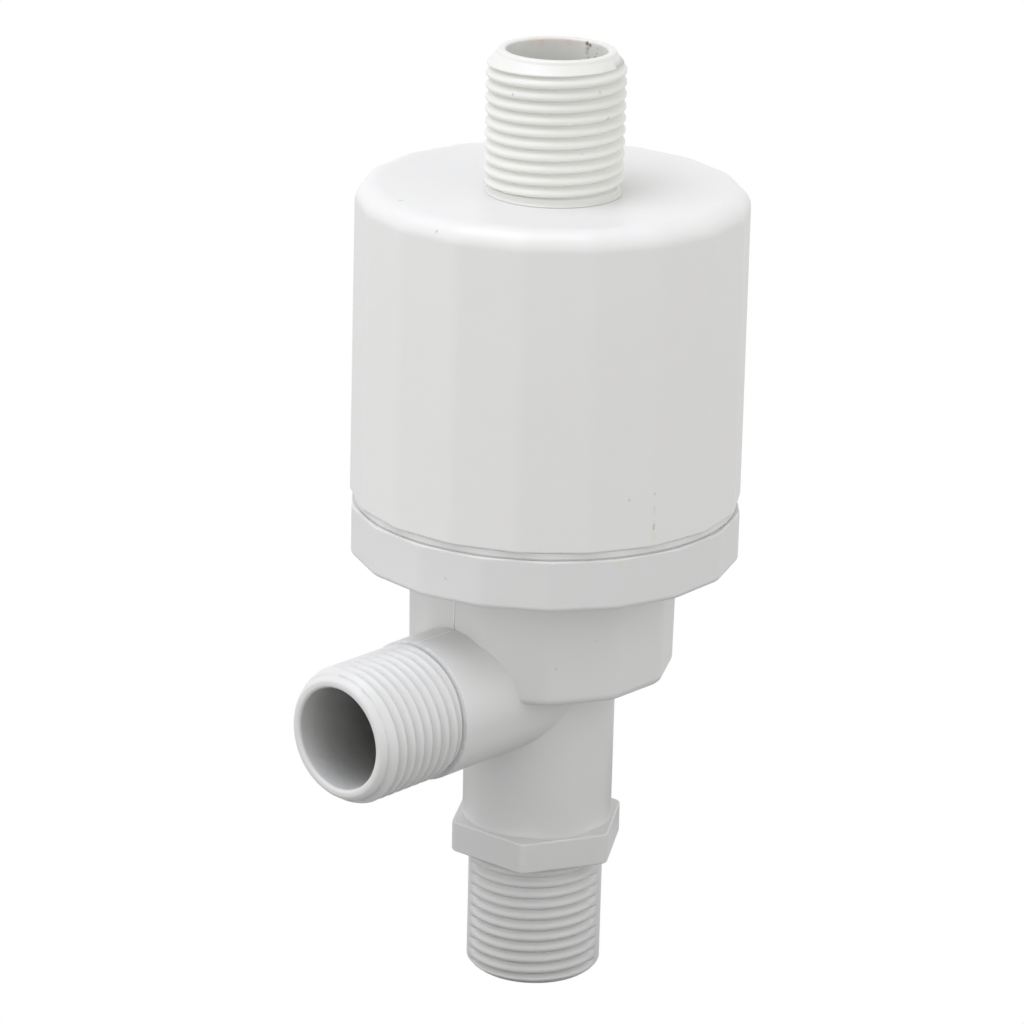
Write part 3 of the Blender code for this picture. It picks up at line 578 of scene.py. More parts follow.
def rubber_material():
    """Black rubber: matt skin, a grey bloom in patches, mould grain."""
    g = Material("black_rubber_skin")
    bloom = g.ramp(g.noise(scale=0.35, detail=4.0), start=0.50, end=0.78)
    base = g.mix(g.times(bloom, 0.35), (0.028, 0.028, 0.030), (0.075, 0.074, 0.07))
    g.put({"Base Color": base,
           "Roughness": g.ramp(g.noise(scale=1.1), 0.3, 0.7, low=0.50, high=0.72)})
    g.relief((g.noise(scale=9.0, detail=3.0), 0.010), (g.noise(scale=1.0), 0.02))
    return g.material


def metal_material(name, color, dark, rough, centre=(0.0, 0.0)):
    """Turned metal: fine rings about an upright axis, and faint tarnish."""
    rings_scale = 9.0
    g = Material(name)
    place = g.node("SeparateXYZ", {0: g.place}, output=None)
    dx = g.math("SUBTRACT", place["X"], centre[0])
    dy = g.math("SUBTRACT", place["Y"], centre[1])
    radius = g.math("SQRT", g.math("ADD", g.times(dx, dx), g.times(dy, dy)))
    across = g.node("CombineXYZ", {0: g.times(radius, rings_scale),
                                   1: g.times(place["Z"], rings_scale)})
    rings = g.noise(scale=1.0, detail=3.0, vector=across)
    stain = g.ramp(g.noise(scale=0.5, detail=4.0), start=0.52, end=0.80)
    g.put({"Base Color": g.mix(g.times(stain, 0.45), color, dark),
           "Metallic": 1.0,
           "Roughness": g.ramp(rings, 0.3, 0.7, low=rough - 0.07, high=rough + 0.09)})
    g.relief((rings, 0.006))
    return g.material


GREY, RUST, DUST = (0.34, 0.33, 0.31), (0.13, 0.08, 0.06), (0.78, 0.62, 0.57)
# marks: x, y, z, radius, colour, strength
COVER_MARKS = [(-8.5, -24.1, 126.35, 0.45, GREY, 0.45),
               (3.1, -28.7, 124.8, 0.40, GREY, 0.40),
               (26.9, -11.9, 85.8, 0.30, GREY, 0.35)]
# a broken run of specks above a yellowed patch, near the bottom edge
COVER_MARKS += [(28.60, -8.15, *mark) for mark in (
    (86.35, 0.32, GREY, 0.26), (84.20, 0.30, GREY, 0.18),
    (83.75, 0.30, GREY, 0.16), (83.25, 0.30, GREY, 0.14),
    (82.10, 0.28, GREY, 0.12), (81.45, 0.36, GREY, 0.45),
    (81.00, 0.30, (0.42, 0.40, 0.28), 0.60),
    (80.20, 0.75, (0.74, 0.73, 0.60), 0.50),
    (79.35, 0.70, (0.74, 0.73, 0.62), 0.40))]
TUBE_MARKS = [
    # specks in the bore, near the rim
    (-0.75, 7.55, 146.35, 0.42, RUST, 0.85), (-0.15, 7.60, 146.15, 0.32, RUST, 0.80),
    (-0.60, 7.57, 145.60, 0.40, GREY, 0.60), (-0.70, 7.55, 144.95, 0.42, GREY, 0.45),
    (-0.45, 7.58, 144.20, 0.40, GREY, 0.35), (1.45, 7.45, 145.90, 0.22, GREY, 0.40),
    (1.25, 7.50, 145.10, 0.26, GREY, 0.60), (1.00, 7.53, 144.50, 0.34, RUST, 0.65),
    # dust round the bore's rim
    (-7.10, 2.60, 146.60, 1.3, DUST, 0.30), (-6.40, 4.10, 146.50, 1.4, DUST, 0.32),
    (-5.30, 5.40, 146.60, 1.4, DUST, 0.28), (-4.10, 6.40, 146.50, 1.3, DUST, 0.30),
    (-2.60, 7.10, 146.60, 1.3, DUST, 0.32), (-6.60, 3.80, 146.00, 0.6, DUST, 0.45),
    (-3.60, 6.70, 146.10, 0.6, DUST, 0.45),
    # specks on the thread
    (10.2, -0.12, 138.10, 0.55, GREY, 0.60), (9.9, -0.80, 137.95, 0.35, GREY, 0.45),
    (8.2, -6.05, 137.80, 0.28, (1.0, 1.0, 1.0), 0.90),
    (0.73, -10.42, 141.67, 0.26, GREY, 0.70), (10.28, -1.83, 142.30, 0.40, GREY, 0.35),
    (9.34, -4.36, 133.40, 0.35, GREY, 0.35)]
BODY_MARKS = [
    (6.26, -28.78, 72.57, 0.27, GREY, 0.32),
    (26.7, -13.2, 76.6, 1.1, (0.70, 0.67, 0.55), 0.45),
    (14.9, -13.48, 56.69, 0.36, (0.22, 0.21, 0.20), 0.28),
    (18.2, -8.1, 60.7, 0.24, GREY, 0.28),
    # painted highlight down the hexagon's front corner
    *[(7.54, -11.69, z, 0.80, (0.80, 0.80, 0.79), 0.55)
      for z in (21.1, 22.1, 23.1, 24.1, 24.9)],
    # painted shade: a dark patch inside the side inlet's mouth
    (0.0, -39.9, BRANCH_Z, 9.3, (0.05, 0.05, 0.04), 1.0)]

white_cover = plastic("white_cover_plastic", (0.79, 0.787, 0.775), COVER_MARKS)
white_tube = plastic("white_tube_plastic", (0.780, 0.780, 0.748), TUBE_MARKS)
white_body = plastic("white_body_plastic", (0.725, 0.725, 0.72), BODY_MARKS)
# parting lines: a plastic lighter than the body's, painted highlight along the raised
# lines
painted_highlight_line = plastic("parting_line_painted_highlight", (0.88, 0.88, 0.87), grain=0.5)
acetal = plastic("inner_acetal", (0.74, 0.74, 0.70), rough=0.34, grain=0.7,
                 subsurface=0.2, tint=(0.95, 0.92, 0.85))
foam = foam_material()
rubber = rubber_material()
steel = metal_material("turned_steel", color=(0.62, 0.62, 0.60),
                       dark=(0.42, 0.41, 0.39), rough=0.26)
brass = metal_material("turned_brass", color=(0.72, 0.53, 0.25),
                       dark=(0.42, 0.29, 0.12), rough=0.28, centre=NOZZLE_AT)

# Sections below are tables of (radius, z, fillet); a missing fillet is 0.

# ------------------------------------------------------------- top inlet tube


def tube_thread(part, z, deg):
    # the thread shrinks towards the rim
    return min(thread_form(part, depth=1.16), 9.95 + (TOP - 1.75 - z) * 0.9)


below = section([
    (TUBE_BORE_R, 81.7), (9.3, 81.7, 0.3), (9.3, 125.21), (10.34, 125.215, 0.06),
    (9.98, 125.62, 0.5), (9.95, 126.3, 0.25), (9.62, 126.48), (9.55, 126.6)],
    closed=False)
above = section([
    (9.95, TOP - 1.75), (9.0, TOP - 0.62, 0.12), (8.74, TOP, 0.5),
    (TUBE_BORE_R, TOP, 0.4), (TUBE_BORE_R, TOP - 3)], closed=False)
add(smooth_mesh("top_inlet_tube_fine", *threaded(
    circle_columns(224), below, above, 144.65, FRONT_DEG, tube_thread)), white_tube)

# ------------------------------------------------------------- outlet nipple
HEX = Polygon(6, corner_deg=-57.2, rounding=1.5)
HEX_A, HEX_Z0, HEX_Z1 = 12.25, 20.34, 25.32
NIPPLE_SEAMS = (39.4, 219.4)    # where the mould halves meet


def outlet_thread(part, z, deg):
    depth = 1.16 * min(fade(deg, seam, 15.0, 35.0) for seam in NIPPLE_SEAMS)
    return min(thread_form(part, depth, under=2.1, lean=0.9), 9.55 + z * 0.85)


below = section([(OUTLET_BORE_R, 3.0), (OUTLET_BORE_R, 0.0, 0.3), (9.4, 0.0, 0.35),
                 (9.62, 0.4)], closed=False)
hexagon = section([(9.48, HEX_Z0), (HEX_A, HEX_Z0, 0.35), (HEX_A, HEX_Z1, 0.35),
                   (11.7, HEX_Z1)], closed=False)
above = [(9.5, 19.75), (9.48, 20.1), hexagon[0]]
above += [(r, z, HEX) for r, z in hexagon[1:-1]]
above += [(11.66, 25.32), (11.6, 25.33), (11.58, 25.36), (11.58, 25.425),
          (9.25, 25.425), (9.25, 29.6), (8.15, 29.6), (8.15, 31.1), (9.25, 31.1),
          (9.25, 36.6), (8.85, 37.0), (OUTLET_BORE_R, 37.0)]
add(smooth_mesh("outlet_nipple_fine", *threaded(
    HEX.columns(HEX_A, arc=8, between=30), below, above, 18.03, FRONT_DEG,
    outlet_thread)), white_body)

# --------------------------------------------------------------- float cover
COVER = Polygon(18, corner_deg=3.8, rounding=5.5)
COVER_A0, COVER_A1 = 29.43, 29.24     # apothem at the bottom and the top
EDGE_R = 3.05                         # rounding of the top edge
EDGE_Z = COVER_Z1 - EDGE_R
HUB_R = 9.7                           # hole for the tube
TOP_WALL = 2.2
INNER_FILLET, INNER_FLAT_R = 1.75, 25.6     # inner top corner: its radius and start


def dish(r):
    """Height of the top, which sinks a little towards the tube."""
    share = max(0.0, (r - HUB_R) / (COVER_A1 - EDGE_R - HUB_R - 0.3))
    return COVER_Z1 - 1.215 + 1.2 * share ** 1.35


def cover_stations():
    """Up the outside, in over the top to the hub, and out under it."""
    side = section([(27.35, COVER_Z0, 0.2), (COVER_A0, COVER_Z0, 0.3),
                    (COVER_A1, EDGE_Z)], closed=False, arc=4, hold=0.06)
    loop = [(r, z, COVER if r > 27.5 else None) for r, z in side]
    for k in range(1, 15):
        t = math.radians((90 + 5.7) * k / 14)
        loop.append((COVER_A1 - EDGE_R + EDGE_R * math.cos(t),
                     EDGE_Z + EDGE_R * math.sin(t), COVER))
    edge_end = loop[-1][0]
    for k in range(1, 19):
        r = edge_end + (HUB_R + 0.12 - edge_end) * k / 18
        loop.append((r, dish(r), COVER if k < 3 else None))
    hub_z = dish(HUB_R)
    under_r = HUB_R + 0.2
    loop += [(HUB_R + 0.03, hub_z - 0.03), (HUB_R, hub_z - 0.15),
             (HUB_R, hub_z - 2.0), (under_r, hub_z - TOP_WALL)]
    for k in range(1, 7):
        r = under_r + (INNER_FLAT_R - under_r) * k / 6
        loop.append((r, dish(r) - TOP_WALL))
    under_z = dish(INNER_FLAT_R) - TOP_WALL
    for k in range(1, 7):
        t = math.radians(15 * k)
        loop.append((INNER_FLAT_R + INNER_FILLET * math.sin(t),
                     under_z - INNER_FILLET * (1 - math.cos(t))))
    return loop


cover_mesh = turned_mesh("float_cover_fine", cover_stations(),
                         COVER.columns(COVER_A0, arc=8, between=8))
hole_angle = math.radians(93.8)
side_hole = rod(1.25, 25.0, 32.0, cols=40, turn=towards(
    (math.cos(hole_angle), math.sin(hole_angle), 0.0), (0, 0, 118.5)))
add(carve(cover_mesh, [side_hole]), white_cover)

# --------------------------------------------------------------- base flange
FLANGE = Polygon(18, corner_deg=-6.7, rounding=5.0)
FLANGE_A = 29.47


def slot_tool(number):
    """Curved slot with round ends, one of six round the flange."""
    middle = math.radians(162.0 + 60.0 * number)
    centre_r, half_width, span = 23.3, 1.2, math.radians(10.0)
    points = []
    for side in (1, -1):
        r = centre_r + side * half_width
        for k in range(13):
            t = middle + side * span * (2 * k / 12 - 1)
            points.append((r * math.cos(t), r * math.sin(t)))
        end = middle + side * span
        x, y = centre_r * math.cos(end), centre_r * math.sin(end)
        for k in range(1, 8):
            t = end + (0 if side > 0 else math.pi) + math.pi * k / 8
            points.append((x + half_width * math.cos(t), y + half_width * math.sin(t)))
    return prism(points, 67.5, 77.5)


flange_section = section([
    (18.5, FLANGE_Z0, 0.2), (FLANGE_A, FLANGE_Z0, 0.8), (FLANGE_A, 76.9, 0.4),
    (28.99, 76.9), (28.92, 76.82), (28.98, 77.02), (29.16, 77.2),
    (29.16, 78.085, 0.22), (27.05, 78.085, 0.05), (27.05, 83.0, 0.3),
    (24.9, 83.0, 0.3), (24.9, 76.0, 0.2), (18.5, 76.0, 0.2)])
# only the rim below its top groove has flats
stations = [(r, z, FLANGE if z < 76.905 and r > 28.95 else None)
            for r, z in flange_section]
flange_mesh = turned_mesh("base_flange_fine", stations,
                          FLANGE.columns(FLANGE_A, arc=7, between=9))
add(carve(flange_mesh, [slot_tool(k) for k in range(6)]), white_body)

# ---------------------------------------------------------------- valve body
# The body is the zero surface of a distance field, negative inside.


def soft_min(a, b, width):
    share = np.clip(0.5 + 0.5 * (b - a) / width, 0, 1)
    return b * (1 - share) + a * share - width * share * (1 - share)


def rounded_edge(side, end, r):
    """Two half spaces meeting in an edge rounded with radius r."""
    outside = np.maximum(np.stack([side + r, end + r]), 0)
    return (np.minimum(np.maximum(side + r, end + r), 0)
            + np.sqrt((outside * outside).sum(0)) - r)


def all_of(*fields):
    """What all the fields share."""
    out = fields[0]
    for field in fields[1:]:
        out = np.maximum(out, field)
    return out


def any_of(*fields):
    """All the fields joined."""
    out = fields[0]
    for field in fields[1:]:
        out = np.minimum(out, field)
    return out


def cup_side(x, y, z, radius):
    """Twelve flats with soft corners, one of them facing the side inlet."""
    step = math.radians(30)
    rounding = 5.0
    offset = (np.arctan2(y, x) + step / 2) % step - step / 2
    # the cup narrows by 0.2 towards its bottom
    apothem = CUP_A - 0.2 * np.clip((CUP_Z1 - z) / (CUP_Z1 - CUP_Z0), 0, 1)
    out = radius * np.cos(offset) - (apothem - rounding)
    along = np.abs(radius * np.sin(offset))
    half = (apothem - rounding) * math.tan(step / 2)
    return np.where(along <= half, out, np.sqrt(
        np.maximum(out, 0) ** 2 + (along - half) ** 2)) - rounding


def body_field(points):
    x, y, z = points[..., 0], points[..., 1], points[..., 2]
    radius = np.sqrt(x * x + y * y)
    branch_radius = np.sqrt(x * x + (z - BRANCH_Z) ** 2)
    cup = rounded_edge(cup_side(x, y, z, radius), CUP_Z0 - z, 1.4)
    cup = all_of(cup, z - CUP_Z1)
    pipe = all_of(radius - PIPE_R, PIPE_Z0 - z, z - 60.0)
    neck = all_of(radius - 18.2, z - NECK_Z1, 60.0 - z)
    branch = rounded_edge(branch_radius - BRANCH_R, -y - BRANCH_SLEEVE, 0.3)
    branch = all_of(branch, y)
    solid = any_of(soft_min(cup, pipe, 0.35), soft_min(pipe, branch, 0.15),
                   branch, neck)
    # the gallery runs round the seat tube
    gallery = all_of(radius - 17.0, 53.0 - z, z - 65.6,
                     -all_of(radius - 9.6, z - 55.0))
    upper = all_of(radius - 15.6, z - 78.0, 64.0 - z)
    groove = all_of(16.2 - radius, radius - 17.6, 74.3 - z)
    bore = all_of(radius - OUTLET_BORE_R, z - 56.0)
    socket = all_of(radius - 9.45, z - 37.6)
    side_bore = all_of(branch_radius - BORE_R, y + 10.4, -y - 60.0)
    return all_of(solid, -any_of(gallery, upper, bore, socket, side_bore, groove))


def gradient(field, points, eps=0.01):
    """Unit normals of a field."""
    out = np.empty_like(points)
    for k in range(3):
        step = np.zeros(3)
        step[k] = eps
        out[:, k] = (field(points + step) - field(points - step)) / (2 * eps)
    length = np.linalg.norm(out, axis=1, keepdims=True)
    return out / np.maximum(length, 1e-9)


def surface_nets(field, low, high, size):
    """Points and quads of the zero surface of a field, on a grid of cells."""
    axes = [np.arange(a, b + size, size) for a, b in zip(low, high)]
    origin = np.array([axis[0] for axis in axes])
    grid = np.stack(np.meshgrid(*axes, indexing="ij"), -1)
    value = np.empty(grid.shape[:3])
    for i in range(0, len(axes[0]), 16):      # in slabs, to save memory
        value[i:i + 16] = field(grid[i:i + 16])
    inside = value < 0
    n = np.array(value.shape) - 1
    corners = [(i, j, k) for i in (0, 1) for j in (0, 1) for k in (0, 1)]
    count = sum(inside[i:i + n[0], j:j + n[1], k:k + n[2]].astype(np.int8)
                for i, j, k in corners)
    active = (count > 0) & (count < 8)
    cell = np.argwhere(active)
    index = np.full(active.shape, -1, np.int64)
    index[active] = np.arange(len(cell))
    # each cell's point is where the surface's tangent planes meet, so that
    # creases and edges stay sharp
    total = np.zeros((len(cell), 3))
    hits = np.zeros(len(cell))
    planes = []
    for start in corners:
        for axis in range(3):
            if start[axis]:
                continue
            end = list(start)
            end[axis] = 1
            v0 = value[tuple((cell + start).T)]
            v1 = value[tuple((cell + end).T)]
            cross = np.nonzero((v0 < 0) != (v1 < 0))[0]
            place = cell[cross] + np.array(start, float)
            place[:, axis] += v0[cross] / (v0[cross] - v1[cross])
            total[cross] += place
            hits[cross] += 1
            planes.append((cross, place, gradient(field, place * size + origin)))
    mean = total / hits[:, None]
    # least squares, held lightly to the mean crossing
    ata = np.zeros((len(cell), 3, 3)) + np.eye(3) * 0.02
    atb = np.zeros((len(cell), 3))
    for cross, place, normal in planes:
        gap = ((place - mean[cross]) * normal).sum(1)
        ata[cross] += normal[:, :, None] * normal[:, None, :]
        atb[cross] += normal * gap[:, None]
    shift = np.linalg.solve(ata, atb[:, :, None])[:, :, 0]
    verts = np.clip(mean + shift, cell - 0.15, cell + 1.15) * size + origin
    # a quad round each grid edge that the surface crosses
    quads = []
    for axis in range(3):
        o1, o2 = [k for k in range(3) if k != axis]
        near, far = [slice(None)] * 3, [slice(None)] * 3
        near[axis], far[axis] = slice(0, -1), slice(1, None)
        edge = np.argwhere(inside[tuple(near)] != inside[tuple(far)])
        edge = edge[(edge[:, o1] > 0) & (edge[:, o2] > 0)
                    & (edge[:, o1] < n[o1]) & (edge[:, o2] < n[o2])]
        start_in = inside[tuple(edge.T)]
        four = []
        for d1, d2 in ((-1, -1), (0, -1), (0, 0), (-1, 0)):
            neighbour = edge.copy()
            neighbour[:, o1] += d1
            neighbour[:, o2] += d2
            four.append(index[tuple(neighbour.T)])
        quad = np.stack(four, 1)
        keep = start_in if axis != 1 else ~start_in
        quad[~keep] = quad[~keep][:, ::-1]
        quads.append(quad)
    quads = np.concatenate(quads)
    return verts, quads[(quads >= 0).all(1)]


CELL = 0.36
body_mesh = smooth_mesh("valve_body_fine", *surface_nets(
    body_field, (-21.6, -29.4, PIPE_Z0 - 0.9), (21.6, 21.6, NECK_Z1 + 0.9), CELL))
body_mesh.set_sharp_from_angle(angle=math.radians(28))
add(body_mesh, white_body)

# ------------------------------------------------- the side inlet's threaded end
# Turned about its own axis, with z as the distance from the main axis.


def inlet_thread(part, z, deg):
    # the grooves run out at the mould's two parting lines
    groove = min(fade(deg, 113.0, 6.0, 36.0), fade(deg, 270.0, 0.5, 12.0))
    form = thread_form(part, 1.2 * groove)
    # a groove all round, where the thread starts at the sleeve
    t = clamp((z - BRANCH_SLEEVE - 0.12) / 0.45)
    r = min(form, THREAD_R - (1 - t) ** 1.5 * (0.25 + 0.8 * groove))
    # the lead-in cone, with a shallow last turn running out across it
    depth = BRANCH_END - z
    cone = min(10.1 + (depth - 1.7) * 0.75, 9.72 + (depth - 1.05) * 0.585)
    last = 0.26 * clamp((depth - 1.05) / 0.5)
    return min(r, cone, min(THREAD_R, cone) - last * (THREAD_R - form))


below = section([
    (BORE_R, BRANCH_SLEEVE - 0.05), (9.6, BRANCH_SLEEVE - 0.05),
    (9.45, BRANCH_SLEEVE + 0.02), (9.45, BRANCH_SLEEVE + 0.08)], closed=False)
above = section([
    (9.72, BRANCH_END - 1.05), (9.42, BRANCH_END - 0.55, 0.6),
    (8.95, BRANCH_END, 0.7), (BORE_R, BRANCH_END, 0.5), (BORE_R, BRANCH_END - 2.0)],
    closed=False)
verts, faces = threaded(circle_columns(224), below, above,
                        0.92 + PITCH / 2 + 0.4, 0.0, inlet_thread)
# laid along -Y
verts = np.stack([verts[:, 0], -verts[:, 2], verts[:, 1] + BRANCH_Z], 1)
add(smooth_mesh("side_inlet_thread", verts, faces), white_body)

# ------------------------------------------------------- parting lines of the body
LINE_HALF_WIDTH, LINE_PROUD = 0.13, 0.045
# outline of the line: share of the half width, share of the height
LINE_SHAPE = [(-1.0, -0.6), (-0.8, 0.45), (-0.35, 0.9), (0.35, 0.9),
              (0.8, 0.45), (1.0, -0.6), (0.0, -1.6)]


def parting_line(name, start, end, steps, out):
    """Thin raised line on a surface that faces `out`."""
    path = np.linspace(start, end, steps + 1)
    along = (path[-1] - path[0]) / np.linalg.norm(path[-1] - path[0])
    out = np.array(out, float)
    across = np.cross(along, out)
    verts = [point + across * a * LINE_HALF_WIDTH + out * b * LINE_PROUD
             for point in path for a, b in LINE_SHAPE]
    m = len(LINE_SHAPE)
    faces = [tuple(range(m)), tuple(reversed(range(steps * m, (steps + 1) * m)))]
    for i in range(steps):
        for k in range(m):
            j = (k + 1) % m
            faces.append((i * m + k, (i + 1) * m + k, (i + 1) * m + j, i * m + j))
    add(smooth_mesh(name, verts, faces), painted_highlight_line)


BRANCH_TOP = BRANCH_Z + BRANCH_R
parting_line("parting_line_branch", (0.0, -CUP_A - 0.05, BRANCH_TOP),
             (0.0, -BRANCH_SLEEVE + 0.35, BRANCH_TOP), 8, (0, 0, 1))
parting_line("parting_line_cup", (0.0, -CUP_A, BRANCH_TOP + 0.1),
             (0.0, -CUP_A, CUP_Z1 - 0.1), 6, (0, -1, 0))
parting_line("parting_line_pipe", (0.0, PIPE_R, PIPE_Z0 + 0.4),
             (0.0, PIPE_R, CUP_Z0 - 0.2), 8, (0, 1, 0))

# ------------------------------------------------------- seals and turned pieces


def ring_piece(name, major, minor, z, body="housing"):
    """O-ring with a fine mould flash line inside and outside."""
    points = []
    for k in range(28):
        t = 2 * math.pi * k / 28
        r = minor + (0.018 if k in (0, 14) else 0.0)
        points.append((major + r * math.cos(t), z + minor * math.sin(t)))
    add(turned_mesh(name, points, circle_columns(160)), rubber, body)


def turned_piece(name, points, material, body="housing", cols=120, closed=True,
                 **options):
    mesh = lathed(name, points, cols, closed, **options)
    mesh.set_sharp_from_angle(angle=math.radians(40))
    add(mesh, material, body)


ring_piece("nipple_oring_fine", 8.82, 0.53, 30.35)
ring_piece("bonnet_oring_fine", 16.9, 0.61, 75.05)
ring_piece("piston_seal_fine", 9.4, 0.75, 62.7, "piston")
turned_piece("tube_gasket_fine", [
    (7.75, 80.1, 0.15), (9.25, 80.1, 0.15), (9.25, 81.6, 0.15),
    (7.75, 81.6, 0.15)], rubber)
turned_piece("seat_ring_fine", [
    (6.3, 50.2, 0.1), (7.05, 50.2, 0.2), (7.05, 55.1), (9.3, 55.1, 0.12),
    (9.3, 56.1, 0.12), (8.3, 56.4, 0.1), (7.9, 57.1, 0.22), (7.3, 57.1, 0.3),
    (6.3, 56.3, 0.3)], steel)
turned_piece("pilot_nozzle_fine", [
    (0.4, 79.1), (1.6, 79.1, 0.15), (1.6, 82.1), (2.7, 82.1, 0.12),
    (2.7, 83.0, 0.15), (1.7, 83.1, 0.2), (1.0, 84.4, 0.18), (0.4, 84.4, 0.1)],
    brass, cols=64, at=NOZZLE_AT)
turned_piece("piston_fine", [
    (1.25, 59.6), (10.15, 59.6, 0.3), (10.15, 61.7, 0.1), (8.6, 61.7, 0.1),
    (8.6, 63.7, 0.1), (10.15, 63.7, 0.1), (10.15, 65.7, 0.25), (6.6, 65.7, 0.2),
    (6.6, 62.3, 0.2), (2.8, 62.3, 0.2), (2.8, 65.2, 0.2), (1.25, 65.2, 0.1)],
    acetal, "piston")
turned_piece("seat_disc_fine", [
    (1.4, 57.2, 0.1), (9.2, 57.2, 0.25), (9.2, 59.5, 0.25), (1.4, 59.5, 0.1)],
    rubber, "piston")
turned_piece("seat_retainer_fine", [
    (1.4, 56.0, 0.1), (4.85, 56.0, 0.2), (5.0, 56.25, 0.1), (5.0, 57.1, 0.1),
    (1.4, 57.1, 0.1)], steel, "piston", cols=96)

# The lever and its pad are drawn with the valve shut, then turned to float-down.
LEVER_DROP = math.radians(2 * LEVER_TILT)
turned_piece("pilot_pad_fine", [
    (0, PIVOT_Z - 2.5), (1.85, PIVOT_Z - 2.5, 0.15), (1.85, PIVOT_Z - 0.1, 0.1),
    (0, PIVOT_Z - 0.1)], rubber, "lever", cols=64, closed=False, at=NOZZLE_AT,
    turn=Matrix.Translation((PIVOT_X, LEVER_Y, PIVOT_Z))
    @ Matrix.Rotation(LEVER_DROP, 4, "Y")
    @ Matrix.Translation((-PIVOT_X, -LEVER_Y, -PIVOT_Z)))

# ring float, with shallow ejector marks moulded in its top
float_mesh = lathed("ring_float_fine", [
    (10.3, 92.0, 0.5), (25.6, 92.0, 1.3), (25.6, 113.0, 1.3), (10.3, 113.0, 0.5)],
    144, closed=True, arc=6, hold=0.3)
mark_angles = [math.radians(60 * k + 10) for k in range(6)]
add(carve(float_mesh, [rod(2.0, 112.75, 114.0,
                           at=(18.0 * math.cos(t), 18.0 * math.sin(t)))
                       for t in mark_angles]), foam, "float")

# retainer screw with its driver slot
screw_mesh = lathed("retainer_screw_fine", [
    (0, 54.4), (1.8, 54.4, 0.25), (2.4, 54.9, 0.2), (2.4, 55.9, 0.1),
    (1.15, 55.9, 0.05), (1.15, 64.6, 0.2), (0, 64.6)], 72)
add(carve(screw_mesh, [prism(rectangle(-2.8, 2.8, -0.35, 0.35), 53.8, 55.0)]),
    steel, "piston")

# -------------------------------------------------------------- piston spring
SPRING_Z0, SPRING_Z1 = 62.45, 71.05
SPRING_R, WIRE_R, COILS = 4.6, 0.345, 4.5
END_GAP = 0.35                 # from the spring's ends to the wire's middle
WIRE_STEPS, WIRE_SIDES = 360, 14


def spring_mesh():
    """Coil spring with closed, flattened end turns."""
    verts, faces = [], []
    for n in range(WIRE_STEPS + 1):
        share = n / WIRE_STEPS
        t = 2 * math.pi * COILS * share
        rise = share - 0.028 * math.sin(2 * math.pi * share)
        z = SPRING_Z0 + END_GAP + (SPRING_Z1 - SPRING_Z0 - 2 * END_GAP) * rise
        for k in range(WIRE_SIDES):
            a = 2 * math.pi * k / WIRE_SIDES
            r = SPRING_R + WIRE_R * math.cos(a)
            verts.append((r * math.cos(t), r * math.sin(t), z + WIRE_R * math.sin(a)))
    for n in range(WIRE_STEPS):
        here, there = n * WIRE_SIDES, (n + 1) * WIRE_SIDES
        for k in range(WIRE_SIDES):
            m = (k + 1) % WIRE_SIDES
            faces.append((here + k, there + k, there + m, here + m))
    last = WIRE_STEPS * WIRE_SIDES
    faces.append(tuple(range(WIRE_SIDES)))
    faces.append(tuple(reversed(range(last, last + WIRE_SIDES))))
    mesh = smooth_mesh("piston_spring_fine", verts, faces)
    mesh.set_sharp_from_angle(angle=math.radians(60))
    return mesh


spring = add(spring_mesh(), steel, "piston")
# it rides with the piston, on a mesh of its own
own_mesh(spring)

# -------------------------------------------------------------------- bonnet
BRACKET_HOLES_X = (-1.0, 4.0)


def piston_cylinder():
    points = section([(0, 71.2), (10.3, 71.2), (10.3, 60.0, 0.3), (12.0, 60.0, 0.3),
                      (12.0, 72.8, 0.2), (0, 72.8)], closed=False, arc=4, hold=0.03)
    verts, faces = turned(points, circle_columns(120, start=1.5), closed=False)
    # faces go in reversed and smooth_mesh turns them outwards; this sets the
    # corner each one begins at
    return smooth_mesh("tool", verts, [tuple(reversed(face)) for face in faces])


def bonnet_rib(deg):
    rib = prism([(7.85, 72.0), (11.2, 72.0), (11.2, 66.7), (14.7, 66.7),
                 (14.7, 76.5), (7.85, 76.5)], -1.6, 1.6, "xz")
    cos, sin = math.cos(math.radians(deg)), math.sin(math.radians(deg))
    rotate_mesh(rib, np.array(((cos, -sin, 0), (sin, cos, 0), (0, 0, 1))))
    return rib


